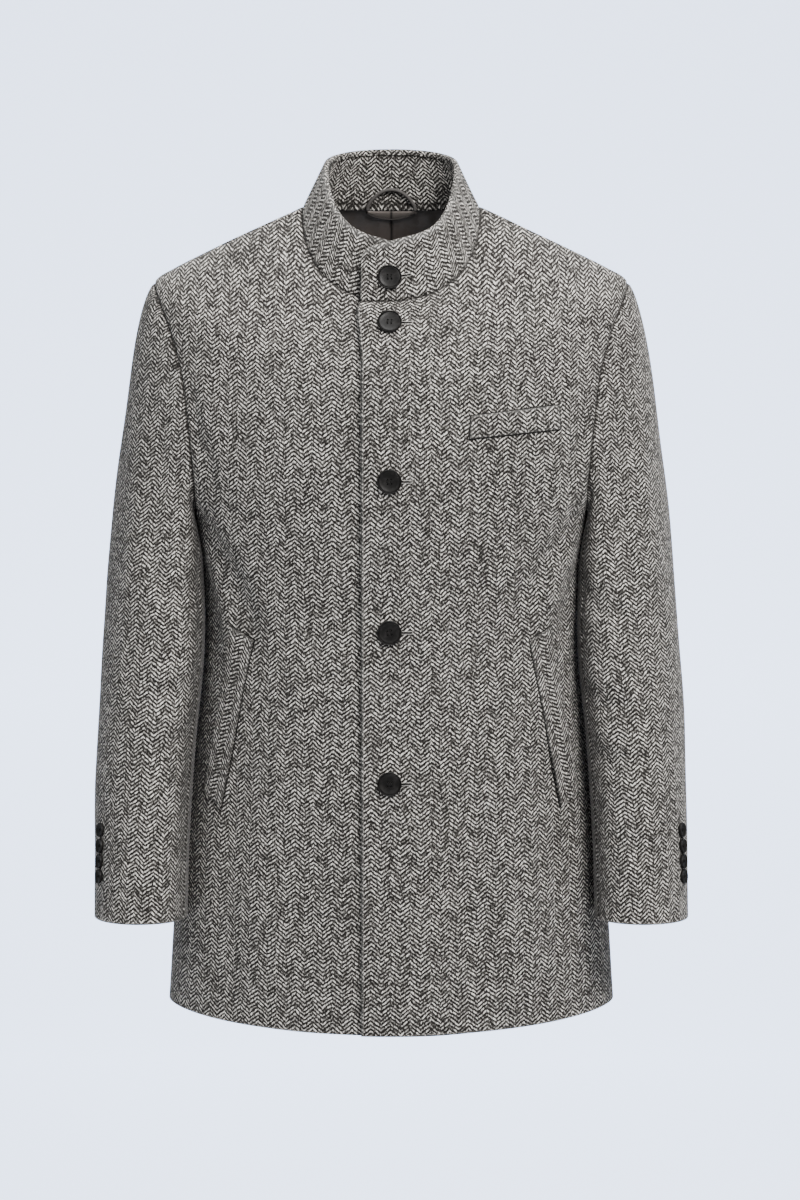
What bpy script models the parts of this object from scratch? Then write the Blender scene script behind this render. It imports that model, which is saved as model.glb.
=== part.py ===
"""Short single-breasted wool overcoat with a stand collar, in its worn shape, hollow and open.

Metres, +Z up. The coat faces -Y, and the wearer's left is +X. The origin is the middle of the neck,
where the coat rests on the wearer. Every cloth piece is a wall: a grid of outer points worked out
from the coat's sections, and the same grid moved in by the wall's thickness.
"""

import math
from collections import namedtuple

import bmesh
import bpy
import numpy as np
from mathutils import Matrix, Vector

# ---------------------------------------------------------------- driving sizes, in metres
NECK_HEIGHT = 0.765        # the origin's height above the hem's sides
WALL = 0.0026              # one layer of the overcoating
EDGE_WALL = 0.0056         # cloth and its turned-in facing, along the front edges
SEAM_GAP = 0.0004          # between two pieces sewn edge to edge
CURVED_SEAM_GAP = 0.0006   # the same round the neck and the armholes
SLEEVE_CLEARANCE = 0.0015  # between a hanging sleeve and the body's side
CLEARANCE_SOFTNESS = 0.002  # rounds the sleeve's change from its own line to the body's side
CAP_FREEDOM = {"reach": 0.03, "rows": 0.5}   # near the armhole the sleeve may come inside that side
LAY_GAP = 0.0003           # between a piece and what it lies on
LAP = 0.0064               # how far the upper front stands off the lower one
LAP_AT_NECK = 0.0074       # the same at the neck, where it lies level
LAP_WIDTH = 0.0295         # the front edge passes the centre line by this
FACING_FULL, FACING_END = 0.040, 0.095   # from the centre line: the facing is at full thickness, ends
LAP_FULL, LAP_END = 0.036, 0.088         # from the centre line: the lap's rise ends, and starts
UNDER_HEM_RISE = 0.002     # the lower front is cut this much shorter

COLLAR_OUTER_WALL = 0.0028
COLLAR_FACING_WALL = 0.0024
COLLAR_LAYER_GAP = 0.0005  # between the collar's two layers
COLLAR_LAP_TURN = 0.290    # the collar's ends pass the centre line by this turn
COLLAR_END_SPREAD = 0.060  # and by this much more at the top, so that they stand upright
COLLAR_END_REACH = 0.6     # that spread dies out over this turn from the end
COLLAR_CORNER = 0.012      # radius of the collar's top corners
FACING_CORNER = 1.35       # the inner layer's corners are cut back by this much more
COLLAR_ROLL = 0.0055       # the outer layer turns over the top and this far down inside
ROLL_STEP = 0.0006         # height over which the outer layer thickens into that turn
ROLL_GAP = 0.0008          # the inner layer ends this far below it
LAP_NECK_DIP = 0.0065      # the lapped end of the neck edge runs lower than its mirror would
TOP_NOTCH = {"height": 0.0028, "reach": 0.022}   # the top edges run down to the front, in a soft V

LINING_WALL = 0.0012
LINING_SINK = 0.0030       # from the back's outer face to the lining's
LINING_ROWS = 6            # it takes this many of the panels' rows below the neck seam

BODY_COLUMNS = {"front": 12, "back": 9}
ROWS_BELOW_ARMHOLE = 12
ARMHOLE_STEPS = 10         # rows of the body up an armhole, and half the columns of a sleeve
ROWS_ABOVE_SHOULDER = 6
CAP_ROWS = 6
ARM_ROWS = 10

# One row of the body: heights above the hem at the side, the centre front and the centre back; half
# width; depths before and behind the middle; how full its corners are; how its height falls away
# from the side to the front and to the back (1 is a tilted plane, more stays level for longer).
Section = namedtuple("Section", "side front back width front_depth back_depth full front_fall back_fall")
BODY = [
    Section(0.000, -0.013, 0.000, 0.2285, 0.140, 0.128, 0.03, 2.1, 1.8),   # hem
    Section(0.130, 0.123, 0.130, 0.2195, 0.137, 0.122, 0.03, 1.5, 1.8),
    Section(0.250, 0.246, 0.250, 0.2040, 0.132, 0.116, 0.03, 1.5, 1.8),    # hip
    Section(0.380, 0.377, 0.380, 0.1905, 0.126, 0.106, 0.06, 1.5, 1.8),    # waist
    Section(0.485, 0.480, 0.485, 0.1990, 0.131, 0.114, 0.12, 1.5, 1.8),    # underarm
    Section(0.522, 0.508, 0.524, 0.2180, 0.132, 0.119, 0.075, 1.5, 1.8),
    Section(0.564, 0.536, 0.567, 0.2352, 0.132, 0.123, 0.045, 1.5, 1.8),
    Section(0.612, 0.565, 0.616, 0.2450, 0.130, 0.126, 0.03, 1.5, 1.8),    # chest and blades
    Section(0.660, 0.595, 0.662, 0.2470, 0.1265, 0.126, 0.03, 1.5, 1.8),
    Section(0.703, 0.622, 0.700, 0.2462, 0.122, 0.122, 0.03, 1.55, 1.8),
    Section(0.7325, 0.645, 0.730, 0.2407, 0.1165, 0.1155, 0.03, 1.6, 1.8),  # shoulder point
    Section(0.7480, 0.662, 0.755, 0.2190, 0.111, 0.108, 0.03, 1.5, 1.7),
    Section(0.7675, 0.677, 0.775, 0.1790, 0.1045, 0.0985, 0.03, 1.4, 1.6),
    Section(0.7893, 0.691, 0.7925, 0.1360, 0.097, 0.0885, 0.04, 1.25, 1.5),
    Section(0.8062, 0.702, 0.8050, 0.1035, 0.090, 0.0785, 0.07, 1.0, 1.3),
    Section(0.8140, 0.7095, 0.8125, 0.0905, 0.085, 0.0700, 0.09, 0.85, 1.2),  # neck seam
]
COLLAR_TOP = Section(0.8545, 0.769, 0.8715, 0.0672, 0.0765, 0.0600, 0.13, 1.0, 0.9)
UNDERARM_ROW, SHOULDER_ROW, NECK_ROW = 4.0, 10.0, 15.0
FALL_ROUNDING = 0.15       # softens the change from the front's fall to the back's at the sides

ARMHOLE_FRONT = math.radians(35)   # how far the armhole is cut into the front, as a turn of the row
ARMHOLE_BACK = math.radians(33)
ARMHOLE_SHAPE = 2.2
SIDE_SEAM_BACK = math.radians(7)   # the side seam runs this far behind the side at the hem

# One section of an arm: height above the hem, middle, half width and half depth, turn about the
# arm's line, and how far the front edge rises above the back one.
ArmSection = namedtuple("ArmSection", "height x y width depth turn rise")
ARM = [
    ArmSection(0.445, 0.2385, -0.012, 0.0471, 0.073, 20, 0.000),   # biceps
    ArmSection(0.360, 0.2410, -0.026, 0.0505, 0.071, 18, 0.000),
    ArmSection(0.270, 0.2468, -0.044, 0.0492, 0.068, 14, 0.000),   # below the elbow
    ArmSection(0.178, 0.2502, -0.063, 0.0478, 0.065, 10, 0.001),
    ArmSection(0.096, 0.2508, -0.080, 0.0468, 0.063, 8, 0.002),    # cuff
]
CAP_START, CAP_END = 0.38, 1.0     # how firmly the cap leaves the armhole and meets the arm
HIND_SEAM = (math.radians(-72), math.radians(4))    # at the armhole, and at the cuff
FORE_SEAM = (math.radians(126), math.radians(150))

# Welts lie on the fronts: corners as (from the centre line, height above the hem).
BREAST_WELT = {"low_in": (0.0765, 0.5735), "low_out": (0.1660, 0.5830),
               "top_out": (0.1650, 0.6070), "top_in": (0.0775, 0.5960)}
HIP_WELT = {"low_in": (0.1700, 0.2060), "low_out": (0.1870, 0.2190),
            "top_out": (0.1590, 0.3880), "top_in": (0.1365, 0.3745)}
WELT_WALL = 0.0018
WELT_LIFT = 0.0007         # from the front's outer face to a welt's back

FRONT_BUTTON = {"radius": 0.0120, "thick": 0.0042}
CUFF_BUTTON = {"radius": 0.0071, "thick": 0.0034}
SEAT_GAP = 0.0001                   # added to the height at which a flat back clears the cloth
BUTTON_LINE = -0.0013               # from the centre line
BUTTON_HEIGHTS = (0.6873, 0.5322, 0.3845, 0.2365)    # on the front, above the hem
COLLAR_BUTTON_SHARE = 0.385         # up the collar from its seam
CUFF_BUTTON_HEIGHTS = (0.1400, 0.1548, 0.1696, 0.1844)
CUFF_BUTTON_TURN = math.radians(24)  # round the sleeve from its outermost line, to the front

LOOP_HALF_SPAN = 0.0255
LOOP_RISE = 0.0175
LOOP_RADIUS = 0.0019
LOOP_STAND_OFF = 0.0015
LOOP_BASE_DEPTH = 0.0085
LOOP_BASE_END = 0.0015
LOOP_BASE_WALL = 0.0008
LOOP_BASE_DROP = 0.0012    # from the neck seam to the half-moon's straight edge

COLOURS = {
    "wool": (0.215, 0.208, 0.193), "satin": (0.030, 0.026, 0.025), "horn": (0.022, 0.021, 0.022),
    "cord": (0.050, 0.046, 0.044), "tab": (0.12, 0.11, 0.105),
}
ROUGHNESS = {"wool": 0.95, "satin": 0.42, "horn": 0.38, "cord": 0.6, "tab": 0.5}


# ---------------------------------------------------------------- surfaces
def along(table, place):
    """The table's columns at a place along it, by a smooth curve through its rows."""
    rows = np.array(table, float)
    last = len(rows) - 1
    place = np.asarray(place, float)
    i = np.clip(np.floor(place).astype(int), 0, last - 1)
    f = (place - i)[..., None]
    b, c = rows[i], rows[i + 1]
    a = np.where((i > 0)[..., None], rows[np.maximum(i - 1, 0)], 2 * b - c)
    d = np.where((i < last - 1)[..., None], rows[np.minimum(i + 2, last)], 2 * c - b)
    curve = 2 * b + (c - a) * f + (2 * a - 5 * b + 4 * c - d) * f**2 + (3 * b - a - 3 * c + d) * f**3
    return np.moveaxis(curve / 2, -1, 0)


def unit(vectors):
    return vectors / np.maximum(np.linalg.norm(vectors, axis=-1, keepdims=True), 1e-12)


def ease(x):
    x = np.clip(x, 0.0, 1.0)
    return x * x * (3 - 2 * x)


def ring_point(section, theta):
    """A point on a section at the turn theta from the centre front, towards the wearer's left."""
    side, front, back, width, front_depth, back_depth, full, front_fall, back_fall = section
    c, s = np.cos(theta), np.sin(theta)
    to_front = (c + np.sqrt(c * c + FALL_ROUNDING**2)) / (1 + math.sqrt(1 + FALL_ROUNDING**2))
    to_back = (-c + np.sqrt(c * c + FALL_ROUNDING**2)) / (1 + math.sqrt(1 + FALL_ROUNDING**2))
    x = width * s * (1 + full * c * c)
    y = -np.where(c > 0, front_depth, back_depth) * c * (1 + full * s * s)
    z = side + (front - side) * to_front**front_fall + (back - side) * to_back**back_fall
    return np.stack([x, y, z - NECK_HEIGHT], -1)


def normals(surface, u, v, step_u=2e-3, step_v=2e-3):
    """Outward unit normals of surface(u, v), with u running towards the wearer's left and v up."""
    across = surface(u + step_u, v) - surface(u - step_u, v)
    upward = surface(u, v + step_v) - surface(u, v - step_v)
    return unit(np.cross(across, upward))


def plain_body(theta, v):
    return ring_point(along(BODY, v), theta)


def near_neck(v):
    return ease((v - NECK_ROW + 3.0) / 3.0)


def lap_rise(theta, v):
    """How far the upper front stands out at this place: nothing behind the sides."""
    x = np.abs(plain_body(theta, v)[..., 0])
    rise = LAP + (LAP_AT_NECK - LAP) * near_neck(v)
    rise = rise * (1 - ease((x - LAP_FULL) / (LAP_END - LAP_FULL)))
    return np.where(np.cos(theta) > 0, rise, 0.0)


def lapped_body(theta, v):
    """The upper front: the body's surface, moved out over the lower front."""
    outward = normals(plain_body, theta, v)
    outward[..., 2] *= 1 - near_neck(v)
    return plain_body(theta, v) + lap_rise(theta, v)[..., None] * unit(outward)


def turn_at(x, v):
    """The turn at which a row is x to the side of the centre line."""
    width, full = along(BODY, v)[3], along(BODY, v)[6]
    s = x / width
    for _ in range(4):
        s = x / (width * (1 + full * (1 - s * s)))
    return np.arcsin(s)


def edge_turn(v):
    """The turn of the fronts' edges, allowing for how far the lap moves its edge out."""
    theta = turn_at(np.full_like(v, -LAP_WIDTH), v)
    for _ in range(3):
        theta = theta - (lapped_body(theta, v)[..., 0] + LAP_WIDTH) / along(BODY, v)[3]
    return theta


def row_step(v, theta):
    """Length of the body's surface for one unit of v."""
    h = 1e-3
    return np.linalg.norm(plain_body(theta, v + h) - plain_body(theta, v - h), axis=-1) / (2 * h)


def neck_end(theta, lapped):
    """The row at which a front ends below the collar: its lapped end is cut lower."""
    if not lapped:
        return np.full_like(theta, NECK_ROW)
    x = plain_body(theta, np.full_like(theta, NECK_ROW))[..., 0]
    dip = LAP_NECK_DIP * np.clip(-x / LAP_WIDTH, 0, 1.2) ** 2
    return NECK_ROW - dip / row_step(np.full_like(theta, NECK_ROW - 0.01), theta)


def armhole(phi):
    """Row place of the armhole at phi round it: 0 at the shoulder, then front, underarm and back."""
    phi = np.mod(phi, 2 * math.pi)
    front = phi <= math.pi
    share = np.where(front, 1 - phi / math.pi, (phi - math.pi) / math.pi)
    t = (1 - np.cos(math.pi * share)) / 2
    cut = (1 - np.abs(2 * t - 1) ** ARMHOLE_SHAPE) ** (1 / ARMHOLE_SHAPE)
    theta = math.pi / 2 + np.where(front, -ARMHOLE_FRONT, ARMHOLE_BACK) * cut
    return theta, UNDERARM_ROW + (SHOULDER_ROW - UNDERARM_ROW) * t


def armhole_point(phi):
    return plain_body(*armhole(phi))


def arm_ring(phi, place):
    """A point on the arm at phi round it: 0 outermost, then front, body side and back."""
    height, x, y, width, depth, turn, rise = along(ARM, place)
    turn = np.radians(turn)
    out, fore = width * np.cos(phi), depth * np.sin(phi)
    px = x + out * np.cos(turn) - fore * np.sin(turn)
    py = y - out * np.sin(turn) - fore * np.cos(turn)
    pz = height + rise * np.sin(phi)
    return np.stack([px, py, pz - NECK_HEIGHT], -1)


def body_side(y, z):
    """Half the body's width at a depth and a height, as measured from the neck."""
    row = np.interp(z + NECK_HEIGHT, [section.side for section in BODY], np.arange(len(BODY)))
    _, _, _, width, front_depth, back_depth, full, _, _ = along(BODY, row)
    c = np.clip(-y / np.where(y < 0, front_depth, back_depth), -1, 1)
    return width * np.sqrt(1 - c * c) * (1 + full * c * c)


def clear_of_body(points, w):
    """Points of the sleeve, moved out where they would touch the body's side."""
    limit = body_side(points[..., 1], points[..., 2]) + SLEEVE_CLEARANCE
    limit = limit - CAP_FREEDOM["reach"] * (1 - ease(w / CAP_FREEDOM["rows"]))
    over = points[..., 0] - limit
    soft = 0.5 * (over + np.sqrt(over * over + CLEARANCE_SOFTNESS**2))
    return np.stack([limit + soft, points[..., 1], points[..., 2]], -1)


def cap_direction(phi):
    """The way the sleeve leaves the armhole."""
    theta, v = armhole(phi)
    over = normals(plain_body, theta, v)
    x = 0.80 - 0.17 * np.cos(phi)
    y = -0.22 * over[..., 0] * np.sin(phi) * -1
    z = -(0.51 + 0.26 * np.cos(phi))
    return unit(np.stack([x, y, z], -1))


def sleeve(phi, w):
    """A point on the sleeve: w runs from 0 at the armhole to 1 at the biceps and 5 at the cuff."""
    phi, w = np.broadcast_arrays(np.asarray(phi, float), np.asarray(w, float))
    low = arm_ring(phi, np.maximum(w - 1, 0))
    start, end = armhole_point(phi), arm_ring(phi, np.zeros_like(phi))
    reach = np.linalg.norm(end - start, axis=-1, keepdims=True)
    leave = cap_direction(phi) * reach * CAP_START
    arrive = unit(arm_ring(phi, np.full_like(phi, 0.02)) - end) * reach * CAP_END
    s = np.clip(w, -0.1, 1)[..., None]
    cap = ((2 * s**3 - 3 * s**2 + 1) * start + (s**3 - 2 * s**2 + s) * leave
           + (3 * s**2 - 2 * s**3) * end + (s**3 - s**2) * arrive)
    return clear_of_body(np.where((w < 1)[..., None], cap, low), w)


def sleeve_normals(phi, w):
    """Outward normals of the sleeve, taken one-sided at the armhole."""
    step = 4e-3
    low = np.maximum(w - step, 0.0)
    across = sleeve(phi + step, w) - sleeve(phi - step, w)
    down = sleeve(phi, w + step) - sleeve(phi, low)
    return unit(np.cross(across, down))


def armhole_mitre(phi):
    """The shared direction of both walls at the armhole seam, scaled for a wall of one metre."""
    theta, v = armhole(phi)
    body_normal = normals(plain_body, theta, v)
    arm_normal = sleeve_normals(phi, np.full_like(phi, 0.004))
    seam = unit(armhole_point(phi + 0.01) - armhole_point(phi - 0.01))
    shared = body_normal + arm_normal
    shared = unit(shared - np.sum(shared * seam, -1, keepdims=True) * seam)
    return shared / np.sum(shared * body_normal, -1, keepdims=True)


def collar_base(theta, lapped):
    """The neck seam under the collar, on the upper or the lower front."""
    surface = lapped_body if lapped else plain_body
    return surface(theta, neck_end(theta, lapped))


def collar_top(theta, lapped):
    top = ring_point(COLLAR_TOP, theta)
    if lapped:
        x = top[..., 0]
        out = unit(np.stack([np.sin(theta), -np.cos(theta), 0 * theta], -1))
        rise = LAP_AT_NECK * (1 - ease((np.abs(x) - LAP_FULL * 0.9) / (LAP_END * 0.75 - LAP_FULL * 0.9)))
        top = top + np.where(np.cos(theta) > 0, rise, 0.0)[..., None] * out
    reach = top[..., 0] * np.where(theta > math.pi, -1, 1) / TOP_NOTCH["reach"]
    notch = TOP_NOTCH["height"] * math.e * reach * np.exp(-np.maximum(reach, 0))
    top[..., 2] += notch * ease(np.cos(theta) / 0.4)
    return top


def collar_surface(lapped):
    def surface(theta, h):
        base, top = collar_base(theta, lapped), collar_top(theta, lapped)
        return base + (top - base) * h[..., None]
    return surface


def neck_mitre(theta, lapped):
    """The shared direction of the walls at the neck seam, for one metre of body and of collar wall."""
    body = lapped_body if lapped else plain_body
    row = neck_end(theta, lapped)
    body_normal = normals(body, theta, row - 0.01)
    collar_normal = normals(collar_surface(lapped), theta, np.full_like(theta, 0.01))
    seam = unit(collar_base(theta + 0.01, lapped) - collar_base(theta - 0.01, lapped))
    shared = body_normal + collar_normal
    shared = unit(shared - np.sum(shared * seam, -1, keepdims=True) * seam)
    return (shared / np.sum(shared * body_normal, -1, keepdims=True),
            shared / np.sum(shared * collar_normal, -1, keepdims=True))


# ---------------------------------------------------------------- solids
def material(name):
    found = bpy.data.materials.get(name)
    if found:
        return found
    made = bpy.data.materials.new(name)
    made.use_nodes = True
    shader = made.node_tree.nodes["Principled BSDF"]
    shader.inputs["Base Color"].default_value = (*COLOURS[name], 1)
    shader.inputs["Roughness"].default_value = ROUGHNESS[name]
    shader.inputs["Metallic"].default_value = 0.0
    return made


def link(name, mesh, finish, collection):
    made = bpy.data.objects.new(name, mesh)
    if not mesh.materials:
        mesh.materials.append(material(finish))
    collection.objects.link(made)
    return made


def wall(name, outer, inner, finish, collection, mirrored=False):
    """A closed wall between two grids of points. Columns run to the wearer's left, rows run up."""
    outer, inner = np.array(outer, float), np.array(inner, float)
    if mirrored:
        outer, inner = (g[:, ::-1] * np.array([-1.0, 1.0, 1.0]) for g in (outer, inner))
    rows, columns = outer.shape[:2]
    mesh = bmesh.new()
    sides = [[[mesh.verts.new(grid[r, c]) for c in range(columns)] for r in range(rows)]
             for grid in (outer, inner)]
    front, back = sides
    for r in range(rows - 1):
        for c in range(columns - 1):
            mesh.faces.new((front[r][c], front[r][c + 1], front[r + 1][c + 1], front[r + 1][c]))
            mesh.faces.new((back[r][c], back[r + 1][c], back[r + 1][c + 1], back[r][c + 1]))
    border = [(0, c) for c in range(columns)] + [(r, columns - 1) for r in range(1, rows)]
    border += [(rows - 1, c) for c in range(columns - 2, -1, -1)] + [(r, 0) for r in range(rows - 2, 0, -1)]
    for (r0, c0), (r1, c1) in zip(border, border[1:] + border[:1]):
        a, b, c, d = front[r1][c1], front[r0][c0], back[r0][c0], back[r1][c1]
        if (r0, c0) < (r1, c1):      # the same diagonal on both sides of a seam
            mesh.faces.new((a, b, c))
            mesh.faces.new((a, c, d))
        else:
            mesh.faces.new((a, b, d))
            mesh.faces.new((b, c, d))
    mesh.normal_update()
    data = bpy.data.meshes.new(name)
    mesh.to_mesh(data)
    mesh.free()
    for polygon in data.polygons:
        polygon.use_smooth = True
    data.set_sharp_from_angle(angle=math.radians(40))
    return link(name, data, finish, collection)


# ---------------------------------------------------------------- body panels
def body_rows():
    below = np.linspace(0, UNDERARM_ROW, ROWS_BELOW_ARMHOLE + 1)[:-1]
    share = np.arange(ARMHOLE_STEPS + 1) / ARMHOLE_STEPS
    beside = UNDERARM_ROW + (SHOULDER_ROW - UNDERARM_ROW) * (1 - np.cos(math.pi * share)) / 2
    above = np.linspace(SHOULDER_ROW, NECK_ROW, ROWS_ABOVE_SHOULDER + 1)[1:]
    return np.concatenate([below, beside, above])


def neck_turns(front):
    """The turns of the panels' columns at the neck seam, which the collar and the lining share."""
    start = float(edge_turn(np.array(NECK_ROW))) if front else math.pi / 2
    end = math.pi / 2 if front else math.pi
    return np.linspace(start, end, BODY_COLUMNS["front" if front else "back"] + 1)


def outer_limit(v, front):
    """The turn at which a panel ends at the side seam, the armhole or the shoulder seam, by row."""
    limit = np.full_like(v, math.pi / 2)
    below = v < UNDERARM_ROW
    limit[below] += SIDE_SEAM_BACK * (1 - v[below] / UNDERARM_ROW)
    beside = (v >= UNDERARM_ROW) & (v <= SHOULDER_ROW)
    share = np.arange(ARMHOLE_STEPS + 1) / ARMHOLE_STEPS
    phi = math.pi * (1 - share) if front else math.pi * (1 + share)
    limit[beside] = armhole(phi)[0]
    return limit


def panel_grid(surface, theta, v, thickness, front):
    """Outer and inner points of a panel, mitred to meet the sleeve and the collar."""
    lapped = surface is lapped_body
    outer = surface(theta, v)
    inner = outer - thickness[..., None] * normals(surface, theta, v)
    share = np.arange(ARMHOLE_STEPS + 1) / ARMHOLE_STEPS
    phi = math.pi * (1 - share) if front else math.pi * (1 + share)
    edge = -1 if front else 0
    rows = slice(ROWS_BELOW_ARMHOLE, ROWS_BELOW_ARMHOLE + ARMHOLE_STEPS + 1)
    inner[rows, edge] = outer[rows, edge] - WALL * armhole_mitre(phi)
    inner[-1] = outer[-1] - thickness[-1][:, None] * neck_mitre(theta[-1], lapped)[0]
    return outer, inner


def facing_thickness(x):
    return WALL + (EDGE_WALL - WALL) * (1 - ease((x - FACING_FULL) / (FACING_END - FACING_FULL)))


def seam_turn(theta, v, gap):
    """theta moved by half a seam's gap along the row."""
    h = 1e-3
    length = np.linalg.norm(plain_body(theta + h, v) - plain_body(theta - h, v), axis=-1) / (2 * h)
    return theta + gap / 2 / length


def front_panel(name, lapped, collection):
    v = body_rows()
    start = edge_turn(v)
    limit = outer_limit(v, front=True)
    limit = seam_turn(limit, v, -SEAM_GAP)
    share = np.linspace(0, 1, BODY_COLUMNS["front"] + 1)
    theta = start[:, None] + (limit - start)[:, None] * share
    grid_v = np.repeat(v[:, None], len(share), 1)
    end = neck_end(theta[-1], lapped) - CURVED_SEAM_GAP / row_step(grid_v[-1] - 0.01, theta[-1])
    upper = v >= SHOULDER_ROW
    scale = (end - SHOULDER_ROW) / (NECK_ROW - SHOULDER_ROW)
    grid_v[upper] = SHOULDER_ROW + (grid_v[upper] - SHOULDER_ROW) * scale
    if not lapped:
        lift = UNDER_HEM_RISE * (1 - ease((theta - turn_at(0.02, 0.0)) / math.radians(40)))
        grid_v += (lift / row_step(grid_v + 0.01, theta)) * (1 - ease(grid_v))
    surface = lapped_body if lapped else plain_body
    thickness = facing_thickness(surface(theta, grid_v)[..., 0])
    outer, inner = panel_grid(surface, theta, grid_v, thickness, front=True)
    return wall(name, outer, inner, "wool", collection, mirrored=not lapped)


def back_panel(name, mirrored, collection):
    v = body_rows()
    limit = seam_turn(outer_limit(v, front=False), v, SEAM_GAP)
    end = seam_turn(np.full_like(v, math.pi), v, -SEAM_GAP)
    share = np.linspace(0, 1, BODY_COLUMNS["back"] + 1)
    theta = limit[:, None] + (end - limit)[:, None] * share
    grid_v = np.repeat(v[:, None], len(share), 1)
    grid_v[-1] -= CURVED_SEAM_GAP / row_step(grid_v[-1] - 0.01, theta[-1])
    outer, inner = panel_grid(plain_body, theta, grid_v, np.full_like(grid_v, WALL), front=False)
    return wall(name, outer, inner, "wool", collection, mirrored)


# ---------------------------------------------------------------- sleeves
def sleeve_rows():
    cap = np.linspace(0, 1, CAP_ROWS + 1)[:-1]
    arm = np.linspace(1, len(ARM), ARM_ROWS + 1)
    return np.concatenate([cap, arm])


def sleeve_piece(name, ends, columns, mirrored, collection):
    """A sleeve piece between two seams: each is the turn at the armhole and at the cuff."""
    w = sleeve_rows()
    share_down = ease(w / len(ARM))
    (top_start, low_start), (top_end, low_end) = ends
    start = top_start + (low_start - top_start) * share_down
    end = top_end + (low_end - top_end) * share_down
    girth = np.linalg.norm(sleeve(start + 0.01, w) - sleeve(start - 0.01, w), axis=-1) / 0.02
    half_gap = CURVED_SEAM_GAP / 2 / girth
    share = np.linspace(0, 1, columns + 1)
    grid_w = np.repeat(w[:, None], columns + 1, 1)
    seamless = start[:, None] + (end - start)[:, None] * share
    inward = sleeve_normals(seamless, grid_w)
    inward[0] = armhole_mitre(seamless[0])
    start, end = start + half_gap, end - half_gap
    phi = start[:, None] + (end - start)[:, None] * share
    outer = sleeve(phi, grid_w)
    outer[0] += CURVED_SEAM_GAP * cap_direction(phi[0])
    inner = outer - WALL * inward
    return wall(name, outer[::-1, ::-1], inner[::-1, ::-1], "wool", collection, mirrored)


def add_sleeves(collection):
    full = 2 * math.pi
    for side, mirrored in (("left", False), ("right", True)):
        top = (HIND_SEAM, FORE_SEAM)
        under = (FORE_SEAM, (HIND_SEAM[0] + full, HIND_SEAM[1] + full))
        step = math.pi / ARMHOLE_STEPS
        for piece, ends in (("top", top), ("under", under)):
            columns = round((ends[1][0] - ends[0][0]) / step)
            sleeve_piece(f"sleeve_{piece}_{side}", ends, columns, mirrored, collection)


# ---------------------------------------------------------------- collar
def collar_turns():
    """Turns round the collar from its upper end to its lower one, close together at both corners."""
    corner = [0.0, 0.09, 0.28, 0.6, 1.0]
    bend = COLLAR_CORNER / COLLAR_TOP.front_depth
    first = [-COLLAR_LAP_TURN + bend * share for share in corner]
    shared = list(neck_turns(True)) + list(neck_turns(False)[1:])
    half = first + [turn for turn in shared if turn > first[-1] + 0.05]
    other = [2 * math.pi - t for t in half[:-1]]
    return np.array(half), np.array(other[::-1]), bend


def corner_drop(turns, bend):
    """How far the rounded corner brings the top edge down, by the turn from the centre front."""
    short = COLLAR_CORNER * (1 - np.clip((turns + COLLAR_LAP_TURN) / bend, 0, 1))
    return COLLAR_CORNER - np.sqrt(np.maximum(COLLAR_CORNER**2 - short**2, 0))


def collar_shell(name, depths, steps, collection, corner=1.0):
    """One layer of the collar. Each row is at a share of the way up, less a length down from the
    top, with its outer and inner faces at these depths below the collar's own outer face."""
    upper, lower, bend = collar_turns()
    share = np.array([step[0] for step in steps])[:, None]
    down = np.array([step[1] for step in steps])[:, None]
    outer_depth, inner_depth = (np.array(depth)[:, None, None] for depth in depths)
    grids = []
    for turns, lapped in ((upper, True), (lower, False)):
        surface = collar_surface(lapped)
        measured = turns if lapped else 2 * math.pi - turns
        drop = corner_drop(measured, bend) * corner
        height = np.linalg.norm(collar_top(turns, lapped) - collar_base(turns, lapped), axis=-1)
        h = share * (1 - drop / height) - down / height
        spread = COLLAR_END_SPREAD * (1 - ease((measured + COLLAR_LAP_TURN) / COLLAR_END_REACH)) * h
        theta = turns - spread if lapped else turns + spread
        outward = normals(surface, theta, h)
        outward[0] = neck_mitre(turns, lapped)[1]
        face = surface(theta, h)
        grids.append((face - outer_depth * outward, face - inner_depth * outward))
    outer = np.concatenate([grids[0][0], grids[1][0]], 1)
    inner = np.concatenate([grids[0][1], grids[1][1]], 1)
    return wall(name, outer, inner, "wool", collection)


def add_collar(collection):
    thin = COLLAR_OUTER_WALL
    sunk = thin + COLLAR_LAYER_GAP
    thick = sunk + COLLAR_FACING_WALL
    steps = ((0.0, 0.0), (0.3, 0.0), (0.62, 0.0), (1.0, COLLAR_ROLL), (1.0, COLLAR_ROLL - ROLL_STEP),
             (1.0, 0.0))
    collar_shell("collar_outer", ([0.0] * 6, [thin] * 4 + [thick] * 2), steps, collection)
    steps = steps[:3] + ((1.0, COLLAR_ROLL + ROLL_GAP),)
    collar_shell("collar_facing", ([sunk] * 4, [thick] * 4), steps, collection, FACING_CORNER)


# ---------------------------------------------------------------- lining and hanger loop
def lining_half(name, mirrored, collection):
    v = body_rows()[-LINING_ROWS:]
    start = seam_turn(np.full_like(v, math.pi / 2), v, SEAM_GAP)
    end = seam_turn(np.full_like(v, math.pi), v, -SEAM_GAP)
    theta = start[:, None] + (end - start)[:, None] * np.linspace(0, 1, BODY_COLUMNS["back"] + 1)
    grid_v = np.repeat(v[:, None], theta.shape[1], 1)
    grid_v[-1] -= CURVED_SEAM_GAP / row_step(grid_v[-1] - 0.01, theta[-1])
    outward = normals(plain_body, theta, grid_v)
    outward[-1] = neck_mitre(theta[-1], False)[0]
    face = plain_body(theta, grid_v) - LINING_SINK * outward
    return wall(name, face, face - LINING_WALL * outward, "satin", collection, mirrored)


def arc(half_span, rise, count):
    """Points of a circle's arc over a chord, as sides and rises."""
    radius = (half_span**2 + rise**2) / (2 * rise)
    reach = math.atan2(half_span, radius - rise)
    turn = np.linspace(-reach, reach, count)
    return radius * np.sin(turn), radius * np.cos(turn) - (radius - rise)


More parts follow.
